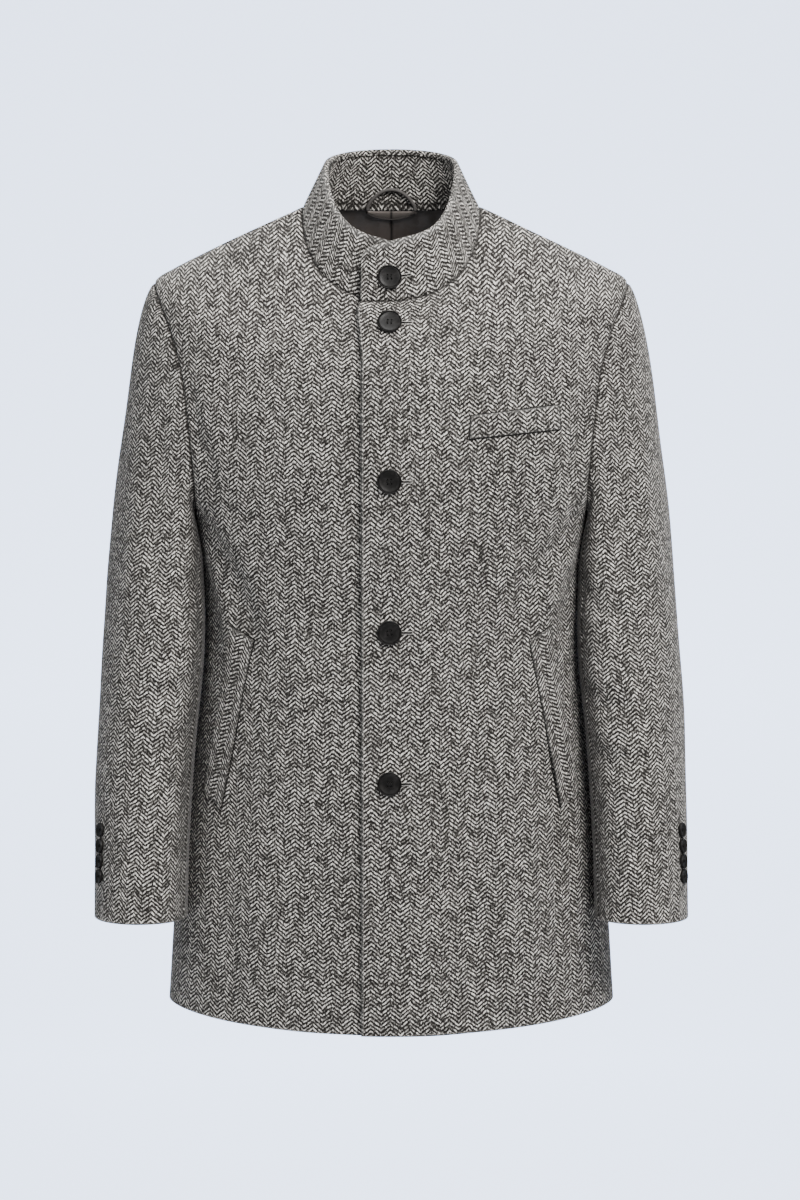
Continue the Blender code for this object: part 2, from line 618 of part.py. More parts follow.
def hanger_loop(collection):
    """A round cord whose ends meet the seam between the collar's facing and the lining."""
    turn = np.linspace(0, math.pi, 17)
    side, rise = arc(LOOP_HALF_SPAN, LOOP_RISE, 17)
    theta = math.pi - turn_at(side, np.full_like(side, NECK_ROW))
    surface = collar_surface(False)
    top, base = surface(theta, np.ones_like(theta)), surface(theta, np.zeros_like(theta))
    height = np.linalg.norm(top - base, axis=-1)
    h = (rise + LOOP_RADIUS) / height
    inward = -normals(surface, theta, h)
    sunk = COLLAR_OUTER_WALL + COLLAR_LAYER_GAP + COLLAR_FACING_WALL + LAY_GAP + LOOP_RADIUS
    route = surface(theta, h) + (sunk + LOOP_STAND_OFF * np.sin(turn))[:, None] * inward
    curve = bpy.data.curves.new("hanger_loop", "CURVE")
    curve.dimensions = "3D"
    curve.bevel_depth = LOOP_RADIUS
    curve.bevel_resolution = 1
    curve.use_fill_caps = True
    spline = curve.splines.new("POLY")
    spline.points.add(len(route) - 1)
    for point, place in zip(spline.points, route):
        point.co = (*place, 1)
    made = bpy.data.objects.new("hanger_loop", curve)
    curve.materials.append(material("cord"))
    collection.objects.link(made)


def loop_base(collection):
    """The half-moon of cloth on the lining, under the loop."""
    side, deep = arc(LOOP_HALF_SPAN, LOOP_BASE_DEPTH, 13)
    turns = math.pi - turn_at(side, np.full_like(side, NECK_ROW))
    theta = np.repeat(turns[None, ::-1], 3, 0)
    down = LOOP_BASE_DROP + np.array([1.0, 0.5, 0.0])[:, None] * (LOOP_BASE_END + deep)
    above, below = body_rows()[-1], body_rows()[-2]
    share = down / np.linalg.norm(plain_body(turns, above) - plain_body(turns, below), axis=-1)
    depth = LINING_SINK + LINING_WALL + 3 * LAY_GAP
    grids = []
    for sink in (depth, depth + LOOP_BASE_WALL):
        high = plain_body(theta, above) - sink * neck_mitre(np.abs(theta), False)[0]
        low = plain_body(theta, below) - sink * normals(plain_body, theta, np.full_like(theta, below))
        grids.append(high + (low - high) * share[..., None])
    wall("loop_base", grids[0], grids[1], "tab", collection)


# ---------------------------------------------------------------- welts
def place_on_front(lapped, x, height):
    """Turn and row of the point of a front that is x to the side and at a height above the hem."""
    surface = lapped_body if lapped else plain_body
    theta, v = turn_at(x, np.full_like(x, 3.0)), np.full_like(x, 3.0)
    target = np.stack([x, height - NECK_HEIGHT], -1)
    h = 1e-3
    for _ in range(25):
        here = surface(theta, v)[..., [0, 2]]
        du = (surface(theta + h, v)[..., [0, 2]] - here) / h
        dv = (surface(theta, v + h)[..., [0, 2]] - here) / h
        miss = target - here
        determinant = du[..., 0] * dv[..., 1] - du[..., 1] * dv[..., 0]
        step_u = (miss[..., 0] * dv[..., 1] - miss[..., 1] * dv[..., 0]) / determinant
        step_v = (du[..., 0] * miss[..., 1] - du[..., 1] * miss[..., 0]) / determinant
        theta, v = theta + np.clip(step_u, -0.2, 0.2), v + np.clip(step_v, -0.6, 0.6)
    return theta, v


def welt(name, corners, rows, columns, lapped, mirrored, collection):
    up = np.linspace(0, 1, rows + 1)[:, None, None]
    out = np.linspace(0, 1, columns + 1)[None, :, None]
    low_in, low_out = np.array(corners["low_in"]), np.array(corners["low_out"])
    top_out, top_in = np.array(corners["top_out"]), np.array(corners["top_in"])
    flat = (1 - up) * ((1 - out) * low_in + out * low_out) + up * ((1 - out) * top_in + out * top_out)
    theta, v = place_on_front(lapped, flat[..., 0], flat[..., 1])
    surface = lapped_body if lapped else plain_body
    outward = normals(surface, theta, v)
    under = surface(theta, v) + WELT_LIFT * outward
    return wall(name, under + WELT_WALL * outward, under, "wool", collection, mirrored)


def add_welts(collection):
    welt("breast_welt", BREAST_WELT, 2, 8, True, False, collection)
    welt("hip_welt_left", HIP_WELT, 14, 3, True, False, collection)
    welt("hip_welt_right", HIP_WELT, 14, 3, False, True, collection)


# ---------------------------------------------------------------- buttons
def button_mesh(name, radius, thick, steps, holes, cutters):
    """A turned four-hole button, its back on z = 0 and its face to +Z."""
    rim = 0.80 * radius
    profile = [(0, thick * 0.62), (rim * 0.80, thick * 0.66), (rim, thick * 0.92), (radius * 0.92, thick),
               (radius, thick * 0.72), (radius * 0.97, thick * 0.3), (radius * 0.8, 0.0), (0, 0.0)]
    data = bpy.data.meshes.new(name)
    data.from_pydata([(x, 0, z) for x, z in profile], [(i, i + 1) for i in range(len(profile) - 1)], [])
    blank = bpy.data.objects.new(name, data)
    cutters.objects.link(blank)
    screw = blank.modifiers.new("turn", "SCREW")
    screw.steps = screw.render_steps = steps
    screw.use_merge_vertices = True
    screw.merge_threshold = 0.00005
    screw.use_smooth_shade = True
    if holes:
        cutter_mesh = bmesh.new()
        spread = radius * 0.155
        for dx, dy in ((1, 1), (-1, 1), (1, -1), (-1, -1)):
            place = Matrix.Translation((dx * spread, dy * spread, thick / 2))
            bmesh.ops.create_cone(cutter_mesh, cap_ends=True, segments=6, radius1=radius * 0.085,
                                  radius2=radius * 0.085, depth=thick * 3, matrix=place)
        cutter_data = bpy.data.meshes.new(name + "_holes")
        cutter_mesh.to_mesh(cutter_data)
        cutter_mesh.free()
        cutter = bpy.data.objects.new(name + "_holes", cutter_data)
        cutters.objects.link(cutter)
        cutter.hide_render = True
        cutter.display_type = "WIRE"
        cut = blank.modifiers.new("holes", "BOOLEAN")
        cut.operation = "DIFFERENCE"
        cut.object = cutter
    bpy.context.view_layer.update()
    made = bpy.data.meshes.new_from_object(blank.evaluated_get(bpy.context.evaluated_depsgraph_get()))
    made.name = name
    bpy.data.objects.remove(blank)
    made.materials.clear()
    made.materials.append(material("horn"))
    made.set_sharp_from_angle(angle=math.radians(35))
    return made


def place_button(name, mesh, point, outward, collection):
    made = link(name, mesh, "horn", collection)
    outward = Vector(outward)
    made.location = Vector(point) + outward * LAY_GAP
    made.rotation_euler = outward.to_track_quat("Z", "Y").to_euler()
    return made


def seat_height(points, normal_at):
    """How far a flat disc has to stand off a curved surface to clear it under its whole back."""
    return max(0.0, float(np.max(points @ normal_at))) + SEAT_GAP


def front_button_place(height, radius):
    """Point and normal where a button lies on the upper front at the centre line."""
    theta, v = place_on_front(True, np.array([BUTTON_LINE]), np.array([height]))
    point, outward = lapped_body(theta, v)[0], normals(lapped_body, theta, v)[0]
    turns = np.linspace(0, 2 * math.pi, 12, endpoint=False)
    x, z = BUTTON_LINE + radius * np.cos(turns), height + radius * np.sin(turns)
    around = lapped_body(*place_on_front(True, x, z))
    return point + outward * seat_height(around - point, outward), outward


def collar_button_place(radius):
    surface = collar_surface(True)
    theta, h = turn_at(np.array([BUTTON_LINE]), np.array([NECK_ROW])), np.array([COLLAR_BUTTON_SHARE])
    point, outward = surface(theta, h)[0], normals(surface, theta, h)[0]
    turns = np.linspace(0, 2 * math.pi, 12, endpoint=False)
    size = np.linalg.norm(collar_top(theta, True) - collar_base(theta, True))
    theta = theta + radius * np.cos(turns) / COLLAR_TOP.front_depth
    around = surface(theta, h + radius * np.sin(turns) / size)
    return point + outward * seat_height(around - point, outward), outward


def cuff_button_place(height):
    top, low = ARM[-2].height, ARM[-1].height
    w = np.array([len(ARM) - (height - low) / (top - low)])
    phi = np.array([CUFF_BUTTON_TURN])
    point, outward = sleeve(phi, w)[0], sleeve_normals(phi, w)[0]
    radius = CUFF_BUTTON["radius"]
    turns = np.linspace(0, 2 * math.pi, 12, endpoint=False)
    around = sleeve(phi + radius * np.cos(turns) / 0.05, w + radius * np.sin(turns) / (top - low))
    return point + outward * seat_height(around - point, outward), outward


def add_buttons(collection, cutters):
    radius, thick = FRONT_BUTTON["radius"], FRONT_BUTTON["thick"]
    mesh = button_mesh("front_button", radius, thick, 22, True, cutters)
    places = [collar_button_place(radius)]
    places += [front_button_place(height, radius) for height in BUTTON_HEIGHTS]
    for number, (point, outward) in enumerate(places, 1):
        place_button(f"button_front_{number}", mesh, point, outward, collection)
    mesh = button_mesh("cuff_button", CUFF_BUTTON["radius"], CUFF_BUTTON["thick"], 12, False, cutters)
    for number, height in enumerate(CUFF_BUTTON_HEIGHTS, 1):
        point, outward = cuff_button_place(height)
        for side, sign in (("left", 1), ("right", -1)):
            flip = np.array([sign, 1, 1])
            place_button(f"button_cuff_{side}_{number}", mesh, point * flip, outward * flip, collection)


# ---------------------------------------------------------------- the coat
def main():
    for old in list(bpy.data.objects):
        bpy.data.objects.remove(old)
    coat = bpy.data.collections.new("wool_overcoat")
    cutters = bpy.data.collections.new("cutters")
    for collection in (coat, cutters):
        bpy.context.scene.collection.children.link(collection)
    front_panel("front_left", True, coat)
    front_panel("front_right", False, coat)
    back_panel("back_left", False, coat)
    back_panel("back_right", True, coat)
    add_sleeves(coat)
    add_collar(coat)
    lining_half("lining_left", False, coat)
    lining_half("lining_right", True, coat)
    hanger_loop(coat)
    loop_base(coat)
    add_welts(coat)
    add_buttons(coat, cutters)


main()
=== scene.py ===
# Wool overcoat with a stand collar, single-breasted, filled out with no wearer: its cloth, lining,
# buttons and sewing. Metres, +Z up, the coat faces -Y, the wearer's left is +X. The origin is the
# middle of the neck.
import math
from collections import namedtuple

import bmesh
import bpy
import numpy as np
from mathutils import Matrix, Vector
from mathutils.bvhtree import BVHTree


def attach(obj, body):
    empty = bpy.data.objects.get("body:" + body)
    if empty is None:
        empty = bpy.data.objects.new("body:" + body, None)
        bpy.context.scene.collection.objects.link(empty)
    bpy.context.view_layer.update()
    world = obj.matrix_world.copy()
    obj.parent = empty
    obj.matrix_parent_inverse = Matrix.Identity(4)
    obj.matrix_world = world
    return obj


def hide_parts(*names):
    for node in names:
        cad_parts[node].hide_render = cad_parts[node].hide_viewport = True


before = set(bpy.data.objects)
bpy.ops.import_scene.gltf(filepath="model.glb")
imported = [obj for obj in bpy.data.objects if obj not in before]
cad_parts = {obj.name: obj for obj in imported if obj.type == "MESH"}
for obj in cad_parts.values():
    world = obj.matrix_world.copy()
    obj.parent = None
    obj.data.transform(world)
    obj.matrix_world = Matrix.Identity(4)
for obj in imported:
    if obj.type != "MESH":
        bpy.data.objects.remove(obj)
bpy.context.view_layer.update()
scene = bpy.context.scene
print("frame loaded:", len(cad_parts), "solids")

# The coat's cut: the same surfaces that the solids were made from.
neckHeight = 0.765         # the origin's height above the hem's sides
clothWall = 0.0026         # one layer of the overcoating
edgeWall = 0.0056          # cloth and its turned-in facing, along the front edges
sleeveClearance = 0.0015   # between a hanging sleeve and the body's side
clearanceSoftness = 0.002  # rounds the sleeve's change from its own line to the body's side
capFreedom = {"reach": 0.03, "rows": 0.5}   # near the armhole the sleeve may come inside that side
layGap = 0.0003            # between a piece and what it lies on
lapRiseBody = 0.0064       # how far the upper front stands off the lower one
lapAtNeck = 0.0074         # the same at the neck, where it lies level
lapNeckRows = 3.0          # and over so many rows below it the one becomes the other
lapWidth = 0.0295          # the front edge passes the centre line by this
facingFull, facingEnd = 0.040, 0.095   # from the centre line: the facing is at full thickness, ends
lapFull, lapEnd = 0.036, 0.088         # from the centre line: the lap's rise ends, and starts

collarOuterWall = 0.0028
collarFacingWall = 0.0024
collarLayerGap = 0.0005    # between the collar's two layers
collarLapTurn = 0.290      # the collar's ends pass the centre line by this turn
collarEndSpread = 0.060    # and by this much more at the top, so that they stand upright
collarEndReach = 0.6       # that spread dies out over this turn from the end
collarCorner = 0.012       # radius of the collar's top corners
facingCorner = 1.25        # the inner layer's corners are cut back by this much more
collarRoll = 0.0055        # the outer layer turns over the top and this far down inside
lapNeckDip = 0.0065        # the lapped end of the neck edge runs lower than its mirror would
topNotch = {"height": 0.0028, "reach": 0.022}   # the top edges run down to the front, in a soft V

liningWall = 0.0012
liningSink = 0.0030        # from the back's outer face to the lining's

# One row of the body: heights above the hem at the side, the centre front and the centre back; half
# width; depths before and behind the middle; how full its corners are; how its height falls away
# from the side to the front and to the back (1 is a tilted plane, more stays level for longer).
Section = namedtuple("Section", "side front back width frontDepth backDepth full frontFall backFall")
bodyTable = [
    Section(0.000, -0.013, 0.000, 0.2285, 0.140, 0.128, 0.03, 2.1, 1.8),   # hem
    Section(0.130, 0.123, 0.130, 0.2195, 0.137, 0.122, 0.03, 1.5, 1.8),
    Section(0.250, 0.246, 0.250, 0.2040, 0.132, 0.116, 0.03, 1.5, 1.8),    # hip
    Section(0.380, 0.377, 0.380, 0.1905, 0.126, 0.106, 0.06, 1.5, 1.8),    # waist
    Section(0.485, 0.480, 0.485, 0.1990, 0.131, 0.114, 0.12, 1.5, 1.8),    # underarm
    Section(0.522, 0.508, 0.524, 0.2180, 0.132, 0.119, 0.075, 1.5, 1.8),
    Section(0.564, 0.536, 0.567, 0.2352, 0.132, 0.123, 0.045, 1.5, 1.8),
    Section(0.612, 0.565, 0.616, 0.2450, 0.130, 0.126, 0.03, 1.5, 1.8),    # chest and blades
    Section(0.660, 0.595, 0.662, 0.2470, 0.1265, 0.126, 0.03, 1.5, 1.8),
    Section(0.703, 0.622, 0.700, 0.2462, 0.122, 0.122, 0.03, 1.55, 1.8),
    Section(0.7325, 0.645, 0.730, 0.2407, 0.1165, 0.1155, 0.03, 1.6, 1.8),  # shoulder point
    Section(0.7480, 0.662, 0.755, 0.2190, 0.111, 0.108, 0.03, 1.5, 1.7),
    Section(0.7675, 0.677, 0.775, 0.1790, 0.1045, 0.0985, 0.03, 1.4, 1.6),
    Section(0.7893, 0.691, 0.7925, 0.1360, 0.097, 0.0885, 0.04, 1.25, 1.5),
    Section(0.8062, 0.702, 0.8050, 0.1035, 0.090, 0.0785, 0.07, 1.0, 1.3),
    Section(0.8140, 0.7095, 0.8125, 0.0905, 0.085, 0.0700, 0.09, 0.85, 1.2),  # neck seam
]
collarRim = Section(0.8545, 0.769, 0.8715, 0.0672, 0.0765, 0.0600, 0.13, 1.0, 0.9)
underarmRow, shoulderRow, neckRow = 4.0, 10.0, 15.0
fallRounding = 0.15       # softens the change from the front's fall to the back's at the sides

armholeFront = math.radians(35)   # how far the armhole is cut into the front, as a turn of the row
armholeBack = math.radians(33)
armholeShape = 2.2         # 2 cuts it as a circle, more makes it fuller
sideSeamBack = math.radians(7)   # the side seam runs this far behind the side at the hem

# One section of an arm: height above the hem, middle, half width and half depth, turn about the
# arm's line, and how far the front edge rises above the back one.
ArmSection = namedtuple("ArmSection", "height x y width depth turn rise")
armTable = [
    ArmSection(0.445, 0.2385, -0.012, 0.0471, 0.073, 20, 0.000),   # biceps
    ArmSection(0.360, 0.2410, -0.026, 0.0505, 0.071, 18, 0.000),
    ArmSection(0.270, 0.2468, -0.044, 0.0492, 0.068, 14, 0.000),   # below the elbow
    ArmSection(0.178, 0.2502, -0.063, 0.0478, 0.065, 10, 0.001),
    ArmSection(0.096, 0.2508, -0.080, 0.0468, 0.063, 8, 0.002),    # cuff
]
capStart, capEnd = 0.38, 1.0     # how firmly the cap leaves the armhole and meets the arm
# The way it leaves the armhole: outward, forward and down, and how out and down change round it.
capWay = {"out": 0.80, "outChange": 0.17, "fore": 0.22, "down": 0.51, "downChange": 0.26}
hindSeam = (math.radians(-72), math.radians(4))    # at the armhole, and at the cuff
foreSeam = (math.radians(126), math.radians(150))

# Welts lie on the fronts: corners as (from the centre line, height above the hem).
breastWelt = {"low_in": (0.0765, 0.5735), "low_out": (0.1660, 0.5830),
              "top_out": (0.1650, 0.6070), "top_in": (0.0775, 0.5960)}
hipWelt = {"low_in": (0.1700, 0.2060), "low_out": (0.1870, 0.2190),
           "top_out": (0.1590, 0.3880), "top_in": (0.1365, 0.3745)}

# Each button of a row is sewn on with its own small turn.
frontButton = {"radius": 0.0120, "thick": 0.0042, "segments": 72,
               "turns": (0.06, -0.09, 0.04, 0.13, -0.05)}
cuffButton = {"radius": 0.0071, "thick": 0.0034, "segments": 40, "turns": (0.1, 0.2, 0.3, 0.4)}
buttonLine = -0.0013       # from the centre line
buttonHeights = (0.6873, 0.5322, 0.3845, 0.2365)    # on the front, above the hem
collarButtonShare = 0.385  # up the collar from its seam
cuffButtonHeights = (0.1400, 0.1548, 0.1696, 0.1844)
cuffButtonTurn = math.radians(24)  # round the sleeve from its outermost line, to the front

loopHalfSpan = 0.0255
loopRise = 0.0175
loopRadius = 0.0019
loopStandOff = 0.0015
loopBaseDepth = 0.0085


def along(table, place):
    # The table's columns at a place along it, by a smooth curve through its rows.
    rows = np.array(table, float)
    last = len(rows) - 1
    place = np.asarray(place, float)
    i = np.clip(np.floor(place).astype(int), 0, last - 1)
    f = (place - i)[..., None]
    b, c = rows[i], rows[i + 1]
    a = np.where((i > 0)[..., None], rows[np.maximum(i - 1, 0)], 2 * b - c)
    d = np.where((i < last - 1)[..., None], rows[np.minimum(i + 2, last)], 2 * c - b)
    curve = 2 * b + (c - a) * f + (2 * a - 5 * b + 4 * c - d) * f**2 + (3 * b - a - 3 * c + d) * f**3
    return np.moveaxis(curve / 2, -1, 0)


def unit(vectors):
    return vectors / np.maximum(np.linalg.norm(vectors, axis=-1, keepdims=True), 1e-12)


def ease(x):
    x = np.clip(x, 0.0, 1.0)
    return x * x * (3 - 2 * x)


def bell(x):
    return np.exp(-x * x)


def lengthOf(vectors):
    return np.linalg.norm(vectors, axis=-1)


def circle(count):
    return np.linspace(0, 2 * math.pi, count, endpoint=False)


def flipOf(mirrored):
    # What the wearer's left is multiplied by to make the right.
    return np.array([-1.0 if mirrored else 1.0, 1.0, 1.0])


def ringPoint(section, theta):
    # A point on a section at the turn theta from the centre front, towards the wearer's left.
    side, front, back, width, frontDepth, backDepth, full, frontFall, backFall = section
    c, s = np.cos(theta), np.sin(theta)
    most = 1 + math.sqrt(1 + fallRounding**2)
    toFront, toBack = ((way * c + np.sqrt(c * c + fallRounding**2)) / most for way in (1, -1))
    x = width * s * (1 + full * c * c)
    y = -np.where(c > 0, frontDepth, backDepth) * c * (1 + full * s * s)
    z = side + (front - side) * toFront**frontFall + (back - side) * toBack**backFall
    return np.stack([x, y, z - neckHeight], -1)


def normals(surface, u, v, stepU=2e-3, stepV=2e-3):
    # Outward unit normals of surface(u, v), with u running towards the wearer's left and v up.
    across = surface(u + stepU, v) - surface(u - stepU, v)
    upward = surface(u, v + stepV) - surface(u, v - stepV)
    return unit(np.cross(across, upward))


def plainBody(theta, v):
    return ringPoint(along(bodyTable, v), theta)


def nearNeck(v):
    return ease((v - neckRow) / lapNeckRows + 1)


def lapRise(theta, v):
    # How far the upper front stands out at this place: nothing behind the sides.
    x = np.abs(plainBody(theta, v)[..., 0])
    rise = lapRiseBody + (lapAtNeck - lapRiseBody) * nearNeck(v)
    rise = rise * (1 - ease((x - lapFull) / (lapEnd - lapFull)))
    return np.where(np.cos(theta) > 0, rise, 0.0)


def lappedBody(theta, v):
    # The upper front: the body's surface, moved out over the lower front.
    outward = normals(plainBody, theta, v)
    outward[..., 2] *= 1 - nearNeck(v)
    return plainBody(theta, v) + lapRise(theta, v)[..., None] * unit(outward)


def frontSurface(lapped):
    return lappedBody if lapped else plainBody


def turnAt(x, v):
    # The turn at which a row is x to the side of the centre line.
    width, full = along(bodyTable, v)[3], along(bodyTable, v)[6]
    s = x / width
    for _ in range(4):
        s = x / (width * (1 + full * (1 - s * s)))
    return np.arcsin(s)


def edgeTurn(v):
    # The turn of the fronts' edges, allowing for how far the lap moves its edge out.
    theta = turnAt(np.full_like(v, -lapWidth), v)
    for _ in range(3):
        theta = theta - (lappedBody(theta, v)[..., 0] + lapWidth) / along(bodyTable, v)[3]
    return theta


def rowStep(v, theta):
    # Length of the body's surface for one unit of v.
    h = 1e-3
    return lengthOf(plainBody(theta, v + h) - plainBody(theta, v - h)) / (2 * h)


def neckEnd(theta, lapped):
    # The row at which a front ends below the collar: its lapped end is cut lower.
    if not lapped:
        return np.full_like(theta, neckRow)
    x = plainBody(theta, np.full_like(theta, neckRow))[..., 0]
    dip = lapNeckDip * np.clip(-x / lapWidth, 0, 1.2) ** 2
    return neckRow - dip / rowStep(np.full_like(theta, neckRow - 0.01), theta)


def armhole(phi):
    # Row place of the armhole at phi round it: 0 at the shoulder, then front, underarm and back.
    phi = np.mod(phi, 2 * math.pi)
    front = phi <= math.pi
    share = np.where(front, 1 - phi / math.pi, (phi - math.pi) / math.pi)
    t = (1 - np.cos(math.pi * share)) / 2
    cut = (1 - np.abs(2 * t - 1) ** armholeShape) ** (1 / armholeShape)
    theta = math.pi / 2 + np.where(front, -armholeFront, armholeBack) * cut
    return theta, underarmRow + (shoulderRow - underarmRow) * t


def armholePoint(phi):
    return plainBody(*armhole(phi))


def armRing(phi, place):
    # A point on the arm at phi round it: 0 outermost, then front, body side and back.
    height, x, y, width, depth, turn, rise = along(armTable, place)
    turn = np.radians(turn)
    out, fore = width * np.cos(phi), depth * np.sin(phi)
    px = x + out * np.cos(turn) - fore * np.sin(turn)
    py = y - out * np.sin(turn) - fore * np.cos(turn)
    pz = height + rise * np.sin(phi)
    return np.stack([px, py, pz - neckHeight], -1)


def bodySide(y, z):
    # Half the body's width at a depth and a height, as measured from the neck.
    row = np.interp(z + neckHeight, [section.side for section in bodyTable], np.arange(len(bodyTable)))
    _, _, _, width, frontDepth, backDepth, full, _, _ = along(bodyTable, row)
    c = np.clip(-y / np.where(y < 0, frontDepth, backDepth), -1, 1)
    return width * np.sqrt(1 - c * c) * (1 + full * c * c)


def clearOfBody(points, w):
    # Points of the sleeve, moved out where they would touch the body's side.
    limit = bodySide(points[..., 1], points[..., 2]) + sleeveClearance
    limit = limit - capFreedom["reach"] * (1 - ease(w / capFreedom["rows"]))
    over = points[..., 0] - limit
    soft = 0.5 * (over + np.sqrt(over * over + clearanceSoftness**2))
    return np.stack([limit + soft, points[..., 1], points[..., 2]], -1)


def capDirection(phi):
    # The way the sleeve leaves the armhole.
    theta, v = armhole(phi)
    over = normals(plainBody, theta, v)
    x = capWay["out"] - capWay["outChange"] * np.cos(phi)
    y = capWay["fore"] * over[..., 0] * np.sin(phi)
    z = -(capWay["down"] + capWay["downChange"] * np.cos(phi))
    return unit(np.stack([x, y, z], -1))


def sleeve(phi, w):
    # A point on the sleeve: w runs from 0 at the armhole to 1 at the biceps and 5 at the cuff.
    phi, w = np.broadcast_arrays(np.asarray(phi, float), np.asarray(w, float))
    low = armRing(phi, np.maximum(w - 1, 0))
    start, end = armholePoint(phi), armRing(phi, np.zeros_like(phi))
    reach = np.linalg.norm(end - start, axis=-1, keepdims=True)
    leave = capDirection(phi) * reach * capStart
    arrive = unit(armRing(phi, np.full_like(phi, 0.02)) - end) * reach * capEnd
    s = np.clip(w, -0.1, 1)[..., None]
    cap = ((2 * s**3 - 3 * s**2 + 1) * start + (s**3 - 2 * s**2 + s) * leave
           + (3 * s**2 - 2 * s**3) * end + (s**3 - s**2) * arrive)
    return clearOfBody(np.where((w < 1)[..., None], cap, low), w)


def sleeveNormals(phi, w):
    # Outward normals of the sleeve, taken one-sided at the armhole.
    step = 4e-3
    low = np.maximum(w - step, 0.0)
    across = sleeve(phi + step, w) - sleeve(phi - step, w)
    down = sleeve(phi, w + step) - sleeve(phi, low)
    return unit(np.cross(across, down))


def armholeMitre(phi):
    # The shared direction of both walls at the armhole seam, scaled for a wall of one metre.
    theta, v = armhole(phi)
    bodyNormal = normals(plainBody, theta, v)
    armNormal = sleeveNormals(phi, np.full_like(phi, 0.004))
    seam = unit(armholePoint(phi + 0.01) - armholePoint(phi - 0.01))
    shared = bodyNormal + armNormal
    shared = unit(shared - np.sum(shared * seam, -1, keepdims=True) * seam)
    return shared / np.sum(shared * bodyNormal, -1, keepdims=True)


def collarBase(theta, lapped):
    # The neck seam under the collar, on the upper or the lower front.
    return frontSurface(lapped)(theta, neckEnd(theta, lapped))


def collarTop(theta, lapped):
    top = ringPoint(collarRim, theta)
    if lapped:
        x = top[..., 0]
        out = unit(np.stack([np.sin(theta), -np.cos(theta), 0 * theta], -1))
        rise = lapAtNeck * (1 - ease((np.abs(x) - lapFull * 0.9) / (lapEnd * 0.75 - lapFull * 0.9)))
        top = top + np.where(np.cos(theta) > 0, rise, 0.0)[..., None] * out
    reach = top[..., 0] * np.where(theta > math.pi, -1, 1) / topNotch["reach"]
    notch = topNotch["height"] * math.e * reach * np.exp(-np.maximum(reach, 0))
    top[..., 2] += notch * ease(np.cos(theta) / 0.4)
    return top


def collarSurface(lapped):
    def surface(theta, h):
        base, top = collarBase(theta, lapped), collarTop(theta, lapped)
        return base + (top - base) * h[..., None]
    return surface


def neckMitre(theta, lapped):
    # The shared direction of the walls at the neck seam, for one metre of body and of collar wall.
    bodyNormal = normals(frontSurface(lapped), theta, neckEnd(theta, lapped) - 0.01)
    collarNormal = normals(collarSurface(lapped), theta, np.full_like(theta, 0.01))
    seam = unit(collarBase(theta + 0.01, lapped) - collarBase(theta - 0.01, lapped))
    shared = bodyNormal + collarNormal
    shared = unit(shared - np.sum(shared * seam, -1, keepdims=True) * seam)
    return (shared / np.sum(shared * bodyNormal, -1, keepdims=True),
            shared / np.sum(shared * collarNormal, -1, keepdims=True))


def arc(halfSpan, rise, count):
    # Points of a circle's arc over a chord, as sides and rises.
    radius = (halfSpan**2 + rise**2) / (2 * rise)
    reach = math.atan2(halfSpan, radius - rise)
    turn = np.linspace(-reach, reach, count)
    return radius * np.sin(turn), radius * np.cos(turn) - (radius - rise)


def placeOnFront(lapped, x, height):
    # Turn and row of the point of a front that is x to the side and at a height above the hem.
    surface = frontSurface(lapped)
    theta, v = turnAt(x, np.full_like(x, 3.0)), np.full_like(x, 3.0)
    target = np.stack([x, height - neckHeight], -1)
    h = 1e-3
    for _ in range(25):
        here = surface(theta, v)[..., [0, 2]]
        du = (surface(theta + h, v)[..., [0, 2]] - here) / h
        dv = (surface(theta, v + h)[..., [0, 2]] - here) / h
        miss = target - here
        determinant = du[..., 0] * dv[..., 1] - du[..., 1] * dv[..., 0]
        stepU = (miss[..., 0] * dv[..., 1] - miss[..., 1] * dv[..., 0]) / determinant
        stepV = (du[..., 0] * miss[..., 1] - du[..., 1] * miss[..., 0]) / determinant
        theta, v = theta + np.clip(stepU, -0.2, 0.2), v + np.clip(stepV, -0.6, 0.6)
    return theta, v


def frontButtonPlace(height):
    # Point and normal where a button lies on the upper front.
    theta, v = placeOnFront(True, np.array([buttonLine]), np.array([height]))
    return lappedBody(theta, v)[0], normals(lappedBody, theta, v)[0]


def collarButtonPlace():
    surface = collarSurface(True)
    theta, h = turnAt(np.array([buttonLine]), np.array([neckRow])), np.array([collarButtonShare])
    return surface(theta, h)[0], normals(surface, theta, h)[0]


def cuffButtonPlace(height):
    top, low = armTable[-2].height, armTable[-1].height
    w = np.array([len(armTable) - (height - low) / (top - low)])
    phi = np.array([cuffButtonTurn])
    return sleeve(phi, w)[0], sleeveNormals(phi, w)[0]


# ---- materials
woolLook = {
    "light": (0.88, 0.840, 0.785),      # the palest and the darkest yarn
    "dark": (0.0110, 0.0096, 0.0085),
    "columnWidth": 0.0096,      # one rib of the herringbone, half of its repeat
    "stripePeriod": 0.0041,     # from one twill line to the next, along the cloth
    "slope": 0.78,              # rise of a twill line over its run
    "floatLength": 0.0044,      # run of one yarn on the face before it dips under
    "drift": 0.0020,            # how far a rib strays from its line
    "wobble": 0.90, "stagger": 0.45, "gap": 0.62, "mixed": 0.58, "grain": 0.60, "fleck": 0.75,
    "blotch": 0.10, "darkest": -0.22, "palest": 1.00, "bend": 2.7,
    "sheen": 0.12, "nap": 0.00030, "roughness": 0.92,
    # the pale edge colour and its share, for rubbed nap and a painted highlight; then the share of
    # painted shade
    "fuzz": (0.34, 0.335, 0.32), "rubbedAndHighlight": 0.18, "seamDark": 0.86,
}
# the seam colour is painted shade along the lining's seams
satinLook = {"color": (0.070, 0.058, 0.052), "seam": (0.006, 0.005, 0.005), "roughness": 0.38}
hornLook = {"color": (0.0145, 0.0135, 0.0128), "streak": (0.005, 0.0046, 0.0043), "roughness": 0.40}
